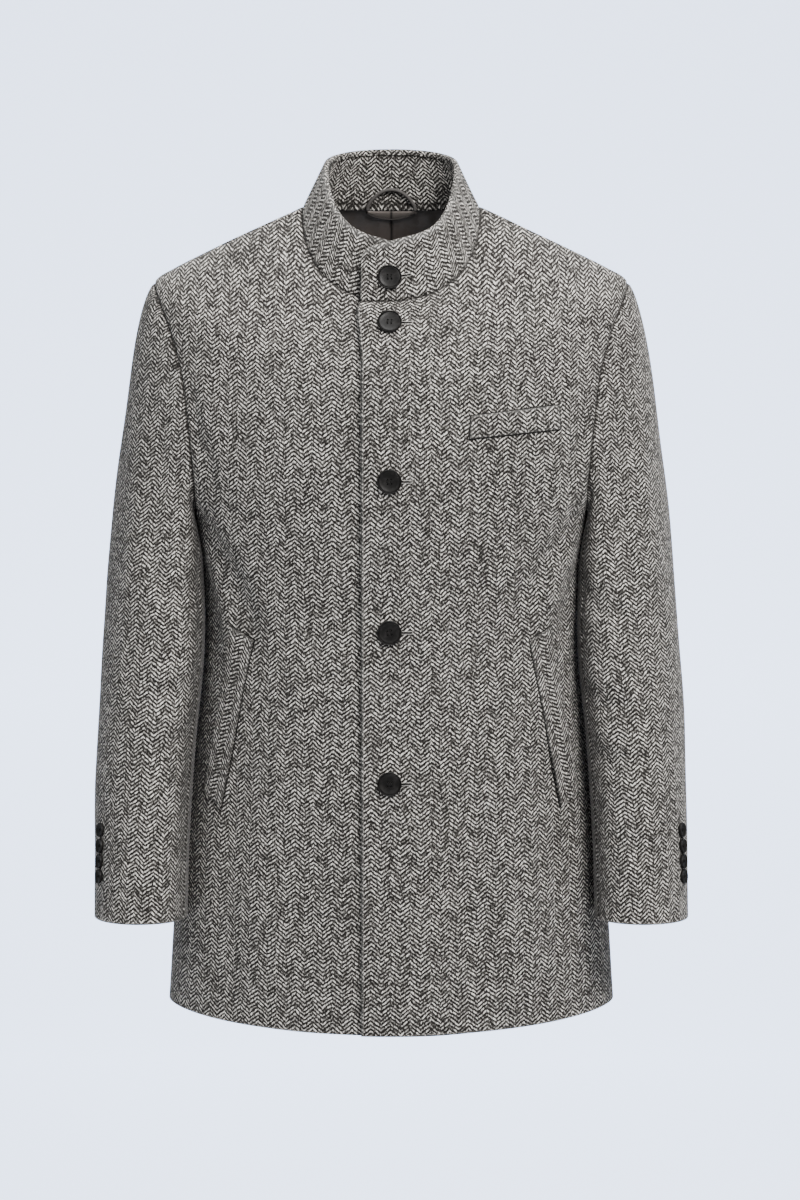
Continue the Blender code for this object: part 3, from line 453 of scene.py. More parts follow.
plainLooks = {
    "thread": {"color": (0.005, 0.0047, 0.0045), "roughness": 0.85, "grain": 0.0001},
    "holeThread": {"color": (0.56, 0.54, 0.51), "roughness": 0.9, "grain": 0.0001},
    # a dark tube that stands as a painted shadow line: round the welts, down the collar's upper end and
    # in the buttonhole slits
    "darkThread": {"color": (0.006, 0.0055, 0.005), "roughness": 0.9, "grain": 0.0001},
    "twistedCord": {"color": (0.066, 0.061, 0.058), "roughness": 0.7, "grain": 0.0002},
    # the half-moon's seam colour is painted shade along its centre seam
    "loopTab": {"color": (0.27, 0.235, 0.215), "roughness": 0.5, "grain": 0.0001,
                "seam": (0.03, 0.027, 0.025)},
}


def feed(tree, socket, value):
    if isinstance(value, bpy.types.NodeSocket):
        tree.links.new(value, socket)
    else:
        socket.default_value = value


def addNode(tree, kind, inputs=None, **settings):
    node = tree.nodes.new(kind)
    for name, value in settings.items():
        setattr(node, name, value)
    for socket, value in (inputs or {}).items():
        feed(tree, node.inputs[socket], value)
    return node


def newMaterial(name, color, roughness, specular, more=None):
    material = bpy.data.materials.new(name)
    material.use_nodes = True
    tree = material.node_tree
    surface = tree.nodes["Principled BSDF"]
    values = {"Base Color": (*color, 1), "Roughness": roughness, "Specular IOR Level": specular}
    for socket, value in {**values, **(more or {})}.items():
        feed(tree, surface.inputs[socket], value)
    return tree, surface


def maths(tree, operation, *values):
    return addNode(tree, "ShaderNodeMath", dict(enumerate(values)), operation=operation).outputs[0]


def noise(tree, vector, scale, detail=1.0, roughness=0.5):
    inputs = {"Vector": vector, "Scale": scale, "Detail": detail, "Roughness": roughness}
    return addNode(tree, "ShaderNodeTexNoise", inputs, noise_dimensions="3D").outputs["Fac"]


def cellNoise(tree, dimensions, value):
    # One even random value for each cell of a plane, a space or a line.
    inputs = {"W" if dimensions == "1D" else "Vector": value}
    return addNode(tree, "ShaderNodeTexWhiteNoise", inputs, noise_dimensions=dimensions).outputs["Value"]


def smoothBetween(tree, value, low, high, start=0.0, end=1.0):
    inputs = dict(enumerate((value, low, high, start, end)))
    return addNode(tree, "ShaderNodeMapRange", inputs, interpolation_type="SMOOTHSTEP").outputs[0]


def mixColors(tree, share, first, second):
    inputs = {"Factor": share, 6: first, 7: second}
    return addNode(tree, "ShaderNodeMix", inputs, data_type="RGBA").outputs[2]


def joinVector(tree, *parts):
    return addNode(tree, "ShaderNodeCombineXYZ", dict(enumerate(parts))).outputs[0]


def objectPlace(tree):
    return addNode(tree, "ShaderNodeTexCoord").outputs["Object"]


def painted(tree, name):
    # A value that the mesh carries at each point.
    return addNode(tree, "ShaderNodeAttribute", attribute_name=name).outputs["Fac"]


def bump(tree, surface, height, distance, strength):
    inputs = {"Strength": strength, "Distance": distance, "Height": height}
    tree.links.new(addNode(tree, "ShaderNodeBump", inputs).outputs[0], surface.inputs["Normal"])


def makeWool(name):
    # Herringbone on the cloth's own coordinates, in metres across and along the grain. Seams and covered
    # places get painted shade; edges get a pale fuzz, partly rubbed nap and partly a painted highlight.
    look = woolLook
    tree, surface = newMaterial(name, (0.2, 0.2, 0.19), look["roughness"], 0.12, {
        "Sheen Weight": look["sheen"], "Sheen Roughness": 0.5, "Sheen Tint": (0.95, 0.94, 0.92, 1)})

    def do(operation, *values):
        return maths(tree, operation, *values)

    def centred(value):
        return do("SUBTRACT", value, 0.5)

    def arch(value, *ends):
        # A smooth rise and fall over each whole step of a value.
        return smoothBetween(tree, do("MULTIPLY", do("PINGPONG", value, 0.5), 2.0), *ends)

    place = addNode(tree, "ShaderNodeUVMap", uv_map="weave").outputs[0]
    across, length = addNode(tree, "ShaderNodeSeparateXYZ", {0: place}).outputs[:2]
    width, period = look["columnWidth"], look["stripePeriod"]
    across = do("MULTIPLY_ADD", centred(noise(tree, place, 26.0)), look["drift"], across)
    column = do("FLOOR", do("DIVIDE", across, width))
    zigzag = do("PINGPONG", across, width)
    line = do("MULTIPLY_ADD", zigzag, look["slope"], length)
    wobble = centred(noise(tree, place, 150.0, 3.0, 0.6))
    line = do("MULTIPLY_ADD", wobble, period * look["wobble"], line)
    line = do("MULTIPLY_ADD", cellNoise(tree, "1D", column), period * look["stagger"], line)
    line = do("DIVIDE", line, period)
    # Every twill line of a rib is a row of single floats, each with its own tone and its own end.
    rung = do("FLOOR", line)
    start = cellNoise(tree, "2D", joinVector(tree, column, rung, 0.0))
    run = do("ADD", do("DIVIDE", zigzag, look["floatLength"]), start)
    single = cellNoise(tree, "3D", joinVector(tree, column, rung, do("FLOOR", run)))
    wave = arch(line, 0.2, 0.95)
    tip = arch(run, 0.0, 0.45, 1.0 - look["gap"], 1.0)
    own = do("MULTIPLY_ADD", single, look["mixed"], 1.0 - look["mixed"])
    # Fibres: small patches of their own tone, in step with the yarn.
    picks = [do("FLOOR", do("MULTIPLY", value, 4.0)) for value in (run, line)]
    fleck = centred(noise(tree, place, 1300.0, 1.0, 0.6))
    tone = do("MULTIPLY", do("MULTIPLY", wave, own), tip)
    for part, label in ((centred(cellNoise(tree, "3D", joinVector(tree, *picks, column))), "grain"),
                        (fleck, "fleck"), (centred(noise(tree, place, 14.0, 2.0)), "blotch")):
        tone = do("MULTIPLY_ADD", part, look[label], tone)
    tone = do("POWER", smoothBetween(tree, tone, look["darkest"], look["palest"]), look["bend"])
    color = mixColors(tree, tone, (*look["dark"], 1), (*look["light"], 1))
    # Pale edges: rubbed nap and a painted highlight. Seams and covered places: painted shade in the
    # darkest yarn's colour.
    for label, amount, shade in (("wear", "rubbedAndHighlight", "fuzz"), ("seam", "seamDark", "dark")):
        share = do("MULTIPLY", painted(tree, label), look[amount])
        color = mixColors(tree, share, color, (*look[shade], 1))
    tree.links.new(color, surface.inputs["Base Color"])
    bump(tree, surface, do("MULTIPLY_ADD", fleck, 0.8, wave), look["nap"], 0.9)


def paintSeamShade(tree, surface, look):
    # Painted shade along the seams.
    color = mixColors(tree, painted(tree, "seam"), (*look["color"], 1), (*look["seam"], 1))
    tree.links.new(color, surface.inputs["Base Color"])


def makeSatin(name):
    tree, surface = newMaterial(name, satinLook["color"], satinLook["roughness"], 0.5,
                                {"Sheen Weight": 0.12, "Anisotropic": 0.4})
    stretch = addNode(tree, "ShaderNodeMapping", {"Scale": (1.0, 1.0, 6.0), "Vector": objectPlace(tree)})
    bump(tree, surface, noise(tree, stretch.outputs[0], 90.0, 2.0), 0.0004, 0.6)
    paintSeamShade(tree, surface, satinLook)


def makeHorn(name):
    tree, surface = newMaterial(name, hornLook["color"], hornLook["roughness"], 0.20)
    place = objectPlace(tree)
    share = smoothBetween(tree, noise(tree, place, 160.0, 4.0, 0.6), 0.38, 0.68)
    color = mixColors(tree, share, (*hornLook["streak"], 1), (*hornLook["color"], 1))
    tree.links.new(color, surface.inputs["Base Color"])
    bump(tree, surface, noise(tree, place, 1400.0, 2.0), 0.00005, 0.5)


def makePlain(name, look):
    tree, surface = newMaterial(name, look["color"], look["roughness"], 0.3)
    bump(tree, surface, noise(tree, objectPlace(tree), 900.0, 2.0), look["grain"], 0.8)
    if "seam" in look:
        paintSeamShade(tree, surface, look)


makeWool("herringbone")
makeSatin("liningSatin")
makeHorn("turnedHorn")
for name, look in plainLooks.items():
    makePlain(name, look)
print("materials made")


# ---- cloth shells
clothGrid = {
    "edge": (0.0, 0.0006, 0.0013, 0.0021, 0.0032, 0.0050),   # distances of the rows next to an edge
    "frontColumns": 66, "backColumns": 58,
    "rowsBelowArmhole": 96, "rowsBesideArmhole": 72, "rowsOverShoulder": 36,
    "sleeveRows": 128, "armRadius": 0.058,                   # a sleeve's usual one, to space columns
    "collarRows": 12, "collarColumns": 150,
}
seamStyle = {
    "reach": 0.0040, "depth": 0.0016,      # how wide and deep the cloth rolls down into a seam
    "shadeReach": 0.0016,                  # the painted shade along a seam reaches this far
    "paleEdgeWidth": 0.0020,                     # width of the paler cloth along a free edge: rubbed nap and a painted highlight
    "overlap": 0.00025,                    # the two cloths pass each other by this in the seam
    "settle": 0.016,                       # folds die out this far from a seam that turns a corner
}


def graded(lengths, count):
    # Shares of each length, close together at both ends: one row of shares a length.
    lengths = np.atleast_1d(np.asarray(lengths, float))[:, None]
    fine = np.array(clothGrid["edge"])[None, :] / lengths
    fine = np.minimum(fine, np.linspace(0, 0.3, fine.shape[1])[None, :])
    between = np.linspace(0, 1, count)[None, 1:-1]
    middle = fine[:, -1:] + (1 - 2 * fine[:, -1:]) * between
    return np.concatenate([fine, middle, 1 - fine[:, ::-1]], 1)


def nearestOnLine(points, line, chunk=4000):
    # Distance from each point to a polyline, and the place on it as an index with a fraction.
    flat = points.reshape(-1, 3)
    start, step = line[:-1], np.diff(line, axis=0)
    size = np.maximum(np.sum(step * step, -1), 1e-14)
    distance, place = np.empty(len(flat)), np.empty(len(flat))
    for first in range(0, len(flat), chunk):
        part = flat[first:first + chunk, None, :]
        t = np.clip(np.sum((part - start) * step, -1) / size, 0, 1)
        away = lengthOf(part - start - t[..., None] * step)
        best = np.argmin(away, 1)
        rows = np.arange(len(best))
        distance[first:first + chunk] = away[rows, best]
        place[first:first + chunk] = best + t[rows, best]
    return distance.reshape(points.shape[:-1]), place.reshape(points.shape[:-1])


def lineValues(values, place):
    low = np.minimum(place.astype(int), len(values) - 2)
    share = (place - low)[..., None]
    return values[low] * (1 - share) + values[low + 1] * share


def runLength(points, axis, metric=None):
    # Length along a grid from its first row or column, measured with only some of the axes.
    step = np.diff(points, axis=axis)
    if metric is not None:
        step = step * np.asarray(metric, float)
    length = lengthOf(step)
    start = np.zeros_like(np.take(length, [0], axis=axis))
    return np.concatenate([start, np.cumsum(length, axis=axis)], axis=axis)


def edgeRuns(points):
    # Length along a grid from each of its four edges.
    low, first = runLength(points, 0), runLength(points, 1)
    return {"low": low, "top": low[-1:] - low, "first": first, "last": first[:, -1:] - first}


def gridNormals(grid):
    # Normals from the grid itself, turned by its own direction of rows and columns.
    return unit(np.cross(np.gradient(grid, axis=1), np.gradient(grid, axis=0)))


def borderLoop(rows, columns):
    # Indices round a grid's border, anticlockwise as seen from outside.
    low = [(0, c) for c in range(columns)]
    last = [(r, columns - 1) for r in range(1, rows)]
    top = [(rows - 1, c) for c in range(columns - 2, -1, -1)]
    first = [(r, 0) for r in range(rows - 2, 0, -1)]
    return low + last + top + first


def edgeWearAndHighlight(points, freeEdges):
    # 1 on a free edge, dying out beside it: where rubbed nap and a painted highlight make it paler.
    runs, wear = edgeRuns(points), np.zeros(points.shape[:2])
    for side in freeEdges:
        wear = np.maximum(wear, bell(runs[side] / seamStyle["paleEdgeWidth"]))
    return wear


def newMesh(name, points, faces):
    mesh = bpy.data.meshes.new(name)
    mesh.from_pydata(points, [], faces)
    mesh.shade_smooth()
    return mesh


def newPiece(name, mesh, *finishes):
    for finish in finishes:
        mesh.materials.append(bpy.data.materials[finish])
    piece = bpy.data.objects.new(name, mesh)
    scene.collection.objects.link(piece)
    return piece


def finalMesh(piece):
    # What a piece's modifiers make of it, as a plain mesh.
    bpy.context.view_layer.update()
    return bpy.data.meshes.new_from_object(piece.evaluated_get(bpy.context.evaluated_depsgraph_get()))


def clothShell(name, outer, inner, uv, freeEdges, shade, mirrored=False, finish="herringbone", worn=0.0,
               ringSteps=3):
    # A closed cloth wall from an outer and an inner grid. A free edge is rounded, and the others
    # pass their neighbour a little. freeEdges holds some of low, last, top, first. The shade, from 0 to
    # 1, is painted shade on the outer face, in seams and where other cloth covers it; the extra wear
    # adds to the pale edge, which is rubbed nap and a painted highlight.
    rows, columns = outer.shape[:2]
    r, c = np.array(borderLoop(rows, columns)).T
    outerLoop, innerLoop = outer[r, c], inner[r, c]
    across = unit(np.gradient(outer, axis=1))
    upward = unit(np.gradient(outer, axis=0))
    away = np.zeros_like(outerLoop)
    bulge = np.zeros(len(r))
    half = lengthOf(outerLoop - innerLoop) / 2
    sides = {"low": (r == 0, -upward), "top": (r == rows - 1, upward),
             "first": (c == 0, -across), "last": (c == columns - 1, across)}
    for side, (here, direction) in sides.items():
        away[here] += direction[r[here], c[here]]
        size = half if side in freeEdges else np.full(len(r), seamStyle["overlap"])
        bulge[here] = np.maximum(bulge[here], size[here])
    away = unit(away)
    free = bulge > seamStyle["overlap"] * 1.01
    back = np.where(free, bulge, 0.0)[:, None] * away
    outer, inner = outer.copy(), inner.copy()
    outer[r, c] -= back
    inner[r, c] -= back
    rings = []
    for step in range(1, ringSteps + 1):
        angle = math.pi * step / (ringSteps + 1)
        share = (1 - math.cos(angle)) / 2
        middle = outer[r, c] * (1 - share) + inner[r, c] * share
        rings.append(middle + (bulge * math.sin(angle))[:, None] * away)
    points = np.concatenate([outer.reshape(-1, 3), inner.reshape(-1, 3)] + rings)
    nearEdge = np.maximum(edgeWearAndHighlight(outer, freeEdges), worn)
    ringWearAndHighlight, ringShade = np.where(free, 1.0, nearEdge[r, c]), np.where(free, shade[r, c], 1.0)
    wear = np.concatenate([nearEdge.ravel(), nearEdge.ravel()] + [ringWearAndHighlight] * ringSteps)
    seam = np.concatenate([shade.ravel(), 0.6 * shade.ravel()] + [ringShade] * ringSteps)
    ringUv = [uv[r, c] + step * 0.0008 * (2 * (r == rows - 1) - 1)[:, None] * np.array([0.0, 1.0])
              for step in range(1, ringSteps + 1)]
    uvs = np.concatenate([uv.reshape(-1, 2), uv.reshape(-1, 2) + 0.0047] + ringUv)
    if mirrored:
        points = points * flipOf(True)
        uvs = uvs * np.array([-1.0, 1.0])
    index = np.arange(rows * columns).reshape(rows, columns)
    corners = [index[:-1, :-1], index[:-1, 1:], index[1:, 1:], index[1:, :-1]]
    quads = np.stack(corners, -1).reshape(-1, 4)
    under = quads[:, ::-1] + rows * columns
    border = index[r, c]
    chain = [border] + [2 * rows * columns + np.arange(len(r)) + k * len(r) for k in range(ringSteps)]
    chain.append(border + rows * columns)
    strips = []
    for upper, lower in zip(chain, chain[1:]):
        strips.append(np.stack([upper, lower, np.roll(lower, -1), np.roll(upper, -1)], -1))
    faces = np.concatenate([quads, under] + strips)
    if mirrored:
        faces = faces[:, ::-1]
    mesh = newMesh(name, points, faces.tolist())
    layer = mesh.uv_layers.new(name="weave")
    order = np.empty(len(mesh.loops), int)
    mesh.loops.foreach_get("vertex_index", order)
    layer.data.foreach_set("uv", uvs[order].ravel())
    for label, values in (("wear", wear), ("seam", seam)):
        mesh.attributes.new(label, "FLOAT", "POINT").data.foreach_set("value", values.astype(np.float32))
    return newPiece(name, mesh, finish)


def clothTree(piece):
    # A finished piece as a tree to cast rays at.
    mesh = piece.data
    places = np.empty(len(mesh.vertices) * 3)
    mesh.vertices.foreach_get("co", places)
    faces = [list(face.vertices) for face in mesh.polygons]
    return BVHTree.FromPolygons(places.reshape(-1, 3).tolist(), faces)


# ---- folds in the cloth
unevenness = 0.0009        # height of the cloth's slow waves
# How many waves are added up, between which lengths, how much they run each way, and their usual sum.
slowWaves = {"count": 9, "length": (0.05, 0.14), "way": (1.0, 1.0, 0.6), "fill": 4}
# The body's cloth keeps its form beside a sleeve: from this far out, up to this row.
besideSleeve = {"from": 0.215, "soft": 0.03, "toRow": 6.6, "firm": 1.6}
# A fold: how wide and deep its trough is, the ridge beside it as a share of the depth, on the left
# of the way it runs, and its points as (turn in degrees from the centre front, row of the body).
Fold = namedtuple("Fold", "wide deep ridge line")
bodyFolds = [
    Fold(0.018, 0.0042, 0.55, [(84, 4.6), (66, 4.15), (46, 3.5), (34, 2.8)]),
    Fold(0.015, 0.0036, 0.6, [(86, 4.1), (72, 3.5), (60, 2.8)]),
    Fold(0.016, 0.0034, 0.5, [(58, 8.2), (52, 6.8), (50, 5.6), (56, 4.9)]),
    Fold(0.030, 0.0034, 0.6, [(52, 2.4), (50, 1.2), (49, 0.0)]),
    Fold(0.034, 0.0026, 0.6, [(24, 1.9), (22, 0.9), (21, 0.0)]),
    Fold(0.018, 0.0046, 0.5, [(-84, 4.7), (-68, 4.1), (-50, 3.4), (-40, 2.6)]),
    Fold(0.016, 0.0034, 0.6, [(-86, 4.0), (-70, 3.3), (-62, 2.6)]),
    Fold(0.017, 0.0036, 0.5, [(-59, 8.4), (-54, 7.0), (-51, 5.7), (-57, 4.9)]),
    Fold(0.030, 0.0040, 0.55, [(-46, 2.6), (-48, 1.3), (-50, 0.0)]),
    Fold(0.030, 0.0024, 0.6, [(-20, 1.7), (-21, 0.8), (-22, 0.0)]),
    Fold(0.018, 0.0044, 0.55, [(100, 4.6), (116, 4.1), (134, 3.5), (150, 3.1)]),
    Fold(0.018, 0.0036, 0.5, [(124, 8.3), (130, 6.9), (132, 5.7), (124, 4.9)]),
    Fold(0.032, 0.0040, 0.55, [(128, 2.6), (127, 1.3), (126, 0.0)]),
    Fold(0.034, 0.0030, 0.6, [(158, 2.2), (157, 1.0), (156, 0.0)]),
    Fold(0.019, 0.0042, 0.5, [(-101, 4.7), (-118, 4.1), (-137, 3.4), (-152, 3.2)]),
    Fold(0.017, 0.0038, 0.5, [(-122, 8.4), (-129, 7.0), (-131, 5.6), (-123, 4.9)]),
    Fold(0.030, 0.0036, 0.6, [(-130, 2.5), (-129, 1.2), (-128, 0.0)]),
    Fold(0.034, 0.0028, 0.6, [(-160, 2.0), (-159, 1.0), (-158, 0.0)]),
    Fold(0.018, 0.0022, 0.5, [(150, 11.8), (180, 11.3), (210, 11.8)]),
]
# The same on the left sleeve, as (turn in degrees from the outermost line, row of the sleeve).
leftSleeveFolds = [
    Fold(0.016, 0.0040, 0.6, [(150, 1.1), (95, 1.5), (62, 1.55)]),
    Fold(0.014, 0.0044, 0.7, [(160, 2.3), (110, 2.55), (66, 2.55)]),
    Fold(0.013, 0.0034, 0.7, [(150, 3.0), (105, 3.2), (58, 3.1)]),
    Fold(0.020, 0.0036, 0.4, [(64, 0.35), (66, 0.9), (74, 1.4)]),
    Fold(0.018, 0.0030, 0.5, [(-110, 1.0), (-80, 1.35), (-52, 1.5)]),
    Fold(0.015, 0.0034, 0.6, [(-125, 2.7), (-92, 2.9), (-58, 2.8)]),
    Fold(0.016, 0.0028, 0.5, [(112, 3.9), (84, 4.1), (60, 4.05)]),
]
rightSleeveFolds = [
    Fold(0.016, 0.0042, 0.6, [(150, 1.0), (98, 1.35), (64, 1.3)]),
    Fold(0.014, 0.0046, 0.7, [(158, 2.15), (112, 2.4), (68, 2.5)]),
    Fold(0.013, 0.0034, 0.7, [(152, 2.85), (108, 3.0), (70, 3.15)]),
    Fold(0.020, 0.0038, 0.4, [(62, 0.3), (64, 0.9), (76, 1.3)]),
    Fold(0.018, 0.0030, 0.5, [(-114, 0.9), (-84, 1.2), (-55, 1.35)]),
    Fold(0.015, 0.0036, 0.6, [(-128, 2.55), (-94, 2.8), (-60, 2.95)]),
    Fold(0.016, 0.0026, 0.5, [(114, 4.0), (86, 4.15), (62, 4.3)]),
]


# Shares of the line over which a fold begins and ends; how sharp its trough is, and how many widths
# out it is felt; its ridge and the lower one across from it, as (place and spread in widths, height).
foldShape = {"begins": 0.22, "ends": 0.30, "past": 1.02, "sharp": 1.6, "reach": 3.2,
             "ridge": (1.5, 0.8, 1.0), "across": (1.9, 0.9, 0.35)}


def foldLine(surface, fold, count=40):
    # A smooth curve on the body or a sleeve through a fold's points.
    turn, row = along(fold.line, np.linspace(0, len(fold.line) - 1, count))
    return surface(np.radians(turn), row)


def foldOffset(points, outward, fold, line):
    # How far one fold moves each point out: a trough with a ridge on one side, dying out at its ends.
    reach = foldShape["reach"] * fold.wide
    low, high = line.min(0) - reach, line.max(0) + reach
    near = np.all((points > low) & (points < high), -1)
    offset = np.zeros(points.shape[:-1])
    if not near.any():
        return offset
    here, normal = points[near], outward[near]
    distance, place = nearestOnLine(here, line)
    nearest = lineValues(line, place)
    way = lineValues(np.vstack([np.diff(line, axis=0), line[-1:] - line[-2:-1]]), place)
    side = np.sign(np.sum(np.cross(normal, unit(way)) * (here - nearest), -1))
    share = place / (len(line) - 1)
    taper = ease(share / foldShape["begins"]) * ease((foldShape["past"] - share) / foldShape["ends"])
    r = distance / fold.wide
    trough = -np.exp(-r * r * foldShape["sharp"])
    ridges = [high * bell((r - at) / spread)
              for at, spread, high in (foldShape["ridge"], foldShape["across"])]
    ridge = fold.ridge * np.where(side > 0, *ridges)
    offset[near] = fold.deep * taper * (trough + ridge)
    return offset


def softWaves(points, seed):
    # Slow unevenness of hung cloth, the same on both sides of a seam.
    rng = np.random.default_rng(seed)
    total = np.zeros(points.shape[:-1])
    shortest, longest = slowWaves["length"]
    for _ in range(slowWaves["count"]):
        way = unit(rng.normal(size=3) * np.array(slowWaves["way"]))
        length = rng.uniform(shortest, longest)
        total += np.sin(points @ way * 2 * math.pi / length + rng.uniform(0, 6.28)) * length / longest
    return total / slowWaves["fill"]


def bodyDisplacement(points, outward, v):
    offset = unevenness * softWaves(points, 5)
    for fold in bodyFolds:
        offset += foldOffset(points, outward, fold, foldLine(plainBody, fold))
    beside = bell((np.abs(points[..., 0]) - besideSleeve["from"]) / besideSleeve["soft"])
    beside = besideSleeve["firm"] * beside * ease(besideSleeve["toRow"] - v)
    return offset * (1 - np.clip(beside, 0, 1))


# ---- body panels
def bodyRows():
    below = np.linspace(0, underarmRow, clothGrid["rowsBelowArmhole"] + 1)[1:-1]
    share = np.linspace(0, 1, clothGrid["rowsBesideArmhole"] + 1)
    beside = underarmRow + (shoulderRow - underarmRow) * (1 - np.cos(math.pi * share)) / 2
    over = np.linspace(shoulderRow, neckRow, clothGrid["rowsOverShoulder"] + 1)[1:-1]
    hem = np.array(clothGrid["edge"]) / 0.13
    neck = neckRow - np.array(clothGrid["edge"])[::-1] / 0.02
    return np.concatenate([hem, below, beside, over[over < neck[0] - 0.05], neck])


def outerLimit(v, front):
    # The turn at which a panel ends at the side seam, the armhole or the shoulder seam.
    side = -1 if front else 1
    t = np.clip((v - underarmRow) / (shoulderRow - underarmRow), 0, 1)
    share = np.arccos(np.clip(1 - 2 * t, -1, 1)) / math.pi
    phi = math.pi * (1 - share) if front else math.pi * (1 + share)
    cut = np.where((v > underarmRow) & (v < shoulderRow), np.abs(armhole(phi)[0] - math.pi / 2), 0.0)
    below = np.where(v < underarmRow, sideSeamBack * (1 - v / underarmRow), 0.0)
    return math.pi / 2 + side * cut + below


def facingThickness(x):
    return clothWall + (edgeWall - clothWall) * (1 - ease((x - facingFull) / (facingEnd - facingFull)))


def sinkIntoSeams(points, outward, thickness, seams):
    # Rolls the cloth down along its seams, and gives painted shade along them. A seam is its line
    # and the walls' shared direction.
    weight = np.zeros(points.shape[:-1])
    direction = outward.copy()
    settle, shade = np.ones(points.shape[:-1]), np.zeros(points.shape[:-1])
    for line, shared, turned in seams:
        distance, place = nearestOnLine(points, line)
        here = np.clip(1 - distance / seamStyle["reach"], 0, 1) ** 2
        better = here > weight
        if shared is not None:
            mixed = outward * (1 - here[..., None]) + lineValues(shared, place) * here[..., None]
            direction = np.where(better[..., None], mixed, direction)
        weight = np.maximum(weight, here)
        shade = np.maximum(shade, bell(distance / seamStyle["shadeReach"]))
        if turned:
            settle = np.minimum(settle, ease(distance / seamStyle["settle"]))
    outer = points - (seamStyle["depth"] * weight)[..., None] * direction
    inner = points - thickness[..., None] * direction
    return outer, inner, settle, shade


# Across is measured along one straight row of the body above the waist, and along each point's own
# row below it. The straight row is followed this far out at most.
grainStyle = {"straightRow": 6.5, "blendFrom": 3.6, "blendRows": 2.2, "widest": 0.24}


def levelLength(theta, v, centre, steps=28):
    # Level distance along the body's rows from the centre line to each turn.
    turns = centre + (theta - centre)[..., None] * np.linspace(0, 1, steps)
    points = plainBody(turns, np.repeat(v[..., None], steps, -1))[..., :2]
    length = lengthOf(np.diff(points, axis=-2)).sum(-1)
    return length * np.sign(theta - centre)


def grainOf(theta, v, front):
    # Place on the straight grain: across from the centre line, and along from the hem.
    centre = 0.0 if front else math.pi
    x = plainBody(theta, v)[..., 0]
    straightRow, widest = np.full_like(v, grainStyle["straightRow"]), grainStyle["widest"]
    turn = turnAt(np.clip(x, -widest, widest), straightRow)
    straight = levelLength(turn if front else math.pi - turn, straightRow, centre)
    blend = ease((v - grainStyle["blendFrom"]) / grainStyle["blendRows"])
    across = levelLength(theta, v, centre) * (1 - blend) + straight * blend
    steps = np.linspace(0, 1, 60)
    points = plainBody(np.repeat(theta[..., None], 60, -1), v[..., None] * steps)[..., 1:]
    up = lengthOf(np.diff(points, axis=-2)).sum(-1)
    return np.stack([across, up], -1)


def frontGrid(lapped):
    v = bodyRows()
    start = edgeTurn(v)
    limit = outerLimit(v, True)
    width = lengthOf(plainBody(start, v) - plainBody(limit, v)) * 1.15
    share = graded(width, clothGrid["frontColumns"])
    theta = start[:, None] + (limit - start)[:, None] * share
    gridV = v[:, None] + 0 * share
    end = neckEnd(theta[-1], lapped)
    upper = v >= shoulderRow
    scale = (end - shoulderRow) / (neckRow - shoulderRow)
    gridV[upper] = shoulderRow + (gridV[upper] - shoulderRow) * scale
    return theta, gridV


def seamLines(front, lapped=False):
    # Lines of a panel's seams, each with the shared direction of the walls where it turns a corner.
    phi = np.linspace(0, math.pi, 160) + (0 if front else math.pi)
    v = np.linspace(0, underarmRow, 80)
    sideSeam = plainBody(outerLimit(v, front), v)
    v = np.linspace(shoulderRow, neckRow, 50)
    shoulder = plainBody(np.full_like(v, math.pi / 2), v)
    start = float(edgeTurn(np.array(neckRow))) if front else math.pi / 2
    turns = np.linspace(start, math.pi / 2 if front else math.pi, 90)
    seams = [(sideSeam, None, False), (shoulder, None, False),
             (armholePoint(phi), armholeMitre(phi), True),
             (collarBase(turns, lapped), neckMitre(turns, lapped)[0], True)]
    if not front:
        v = np.linspace(0, neckRow, 160)
        seams.append((plainBody(np.full_like(v, math.pi), v), None, False))
    return seams


# A sleeve gets painted shade where it hangs beside the body, and is fuller at one height where a chink
# would show.
sleeveShade = {"reach": 0.060, "dark": 0.95, "below": -0.13, "full": -0.24, "turn": (0.66, 0.90)}
chink = {"at": -0.267, "tall": 0.022, "fill": 0.0018, "turn": 1.2}
lapShade = {"reach": 0.0080, "dark": 0.55}    # painted shade on the lower front where the upper one covers it


def foldedCloth(points, outward, thickness, seams, offset):
    # The outer and inner faces with their folds and seams, and the painted shade each point gets
    # from its seams.
    settle = sinkIntoSeams(points, outward, thickness, seams)[2]
    points = points + (offset * settle)[..., None] * outward
    outer, inner, _, shade = sinkIntoSeams(points, outward, thickness, seams)
    return outer, inner, shade


def coveredShade(distance):
    return lapShade["dark"] * ease((lapShade["reach"] - distance) / lapShade["reach"])


def frontPanel(name, lapped):
    theta, v = frontGrid(lapped)
    surface, flip = frontSurface(lapped), flipOf(not lapped)
    points, outward = surface(theta, v), normals(surface, theta, v)
    offset = bodyDisplacement(points * flip, outward * flip, v)
    offset = offset * ease((points[..., 0] + lapWidth - 0.004) / 0.05)
    thickness = facingThickness(points[..., 0])
    outer, inner, shade = foldedCloth(points, outward, thickness, seamLines(True, lapped), offset)
    # Painted shade on the lower front along the upper front's edge.
    if not lapped:
        rows = np.linspace(0, neckRow, 200)
        overEdge = lappedBody(edgeTurn(rows), rows) * flip
        shade = np.maximum(shade, coveredShade(nearestOnLine(outer, overEdge)[0]))
    return clothShell(name, outer, inner, grainOf(theta, v, True), ("low", "first"), shade, not lapped)


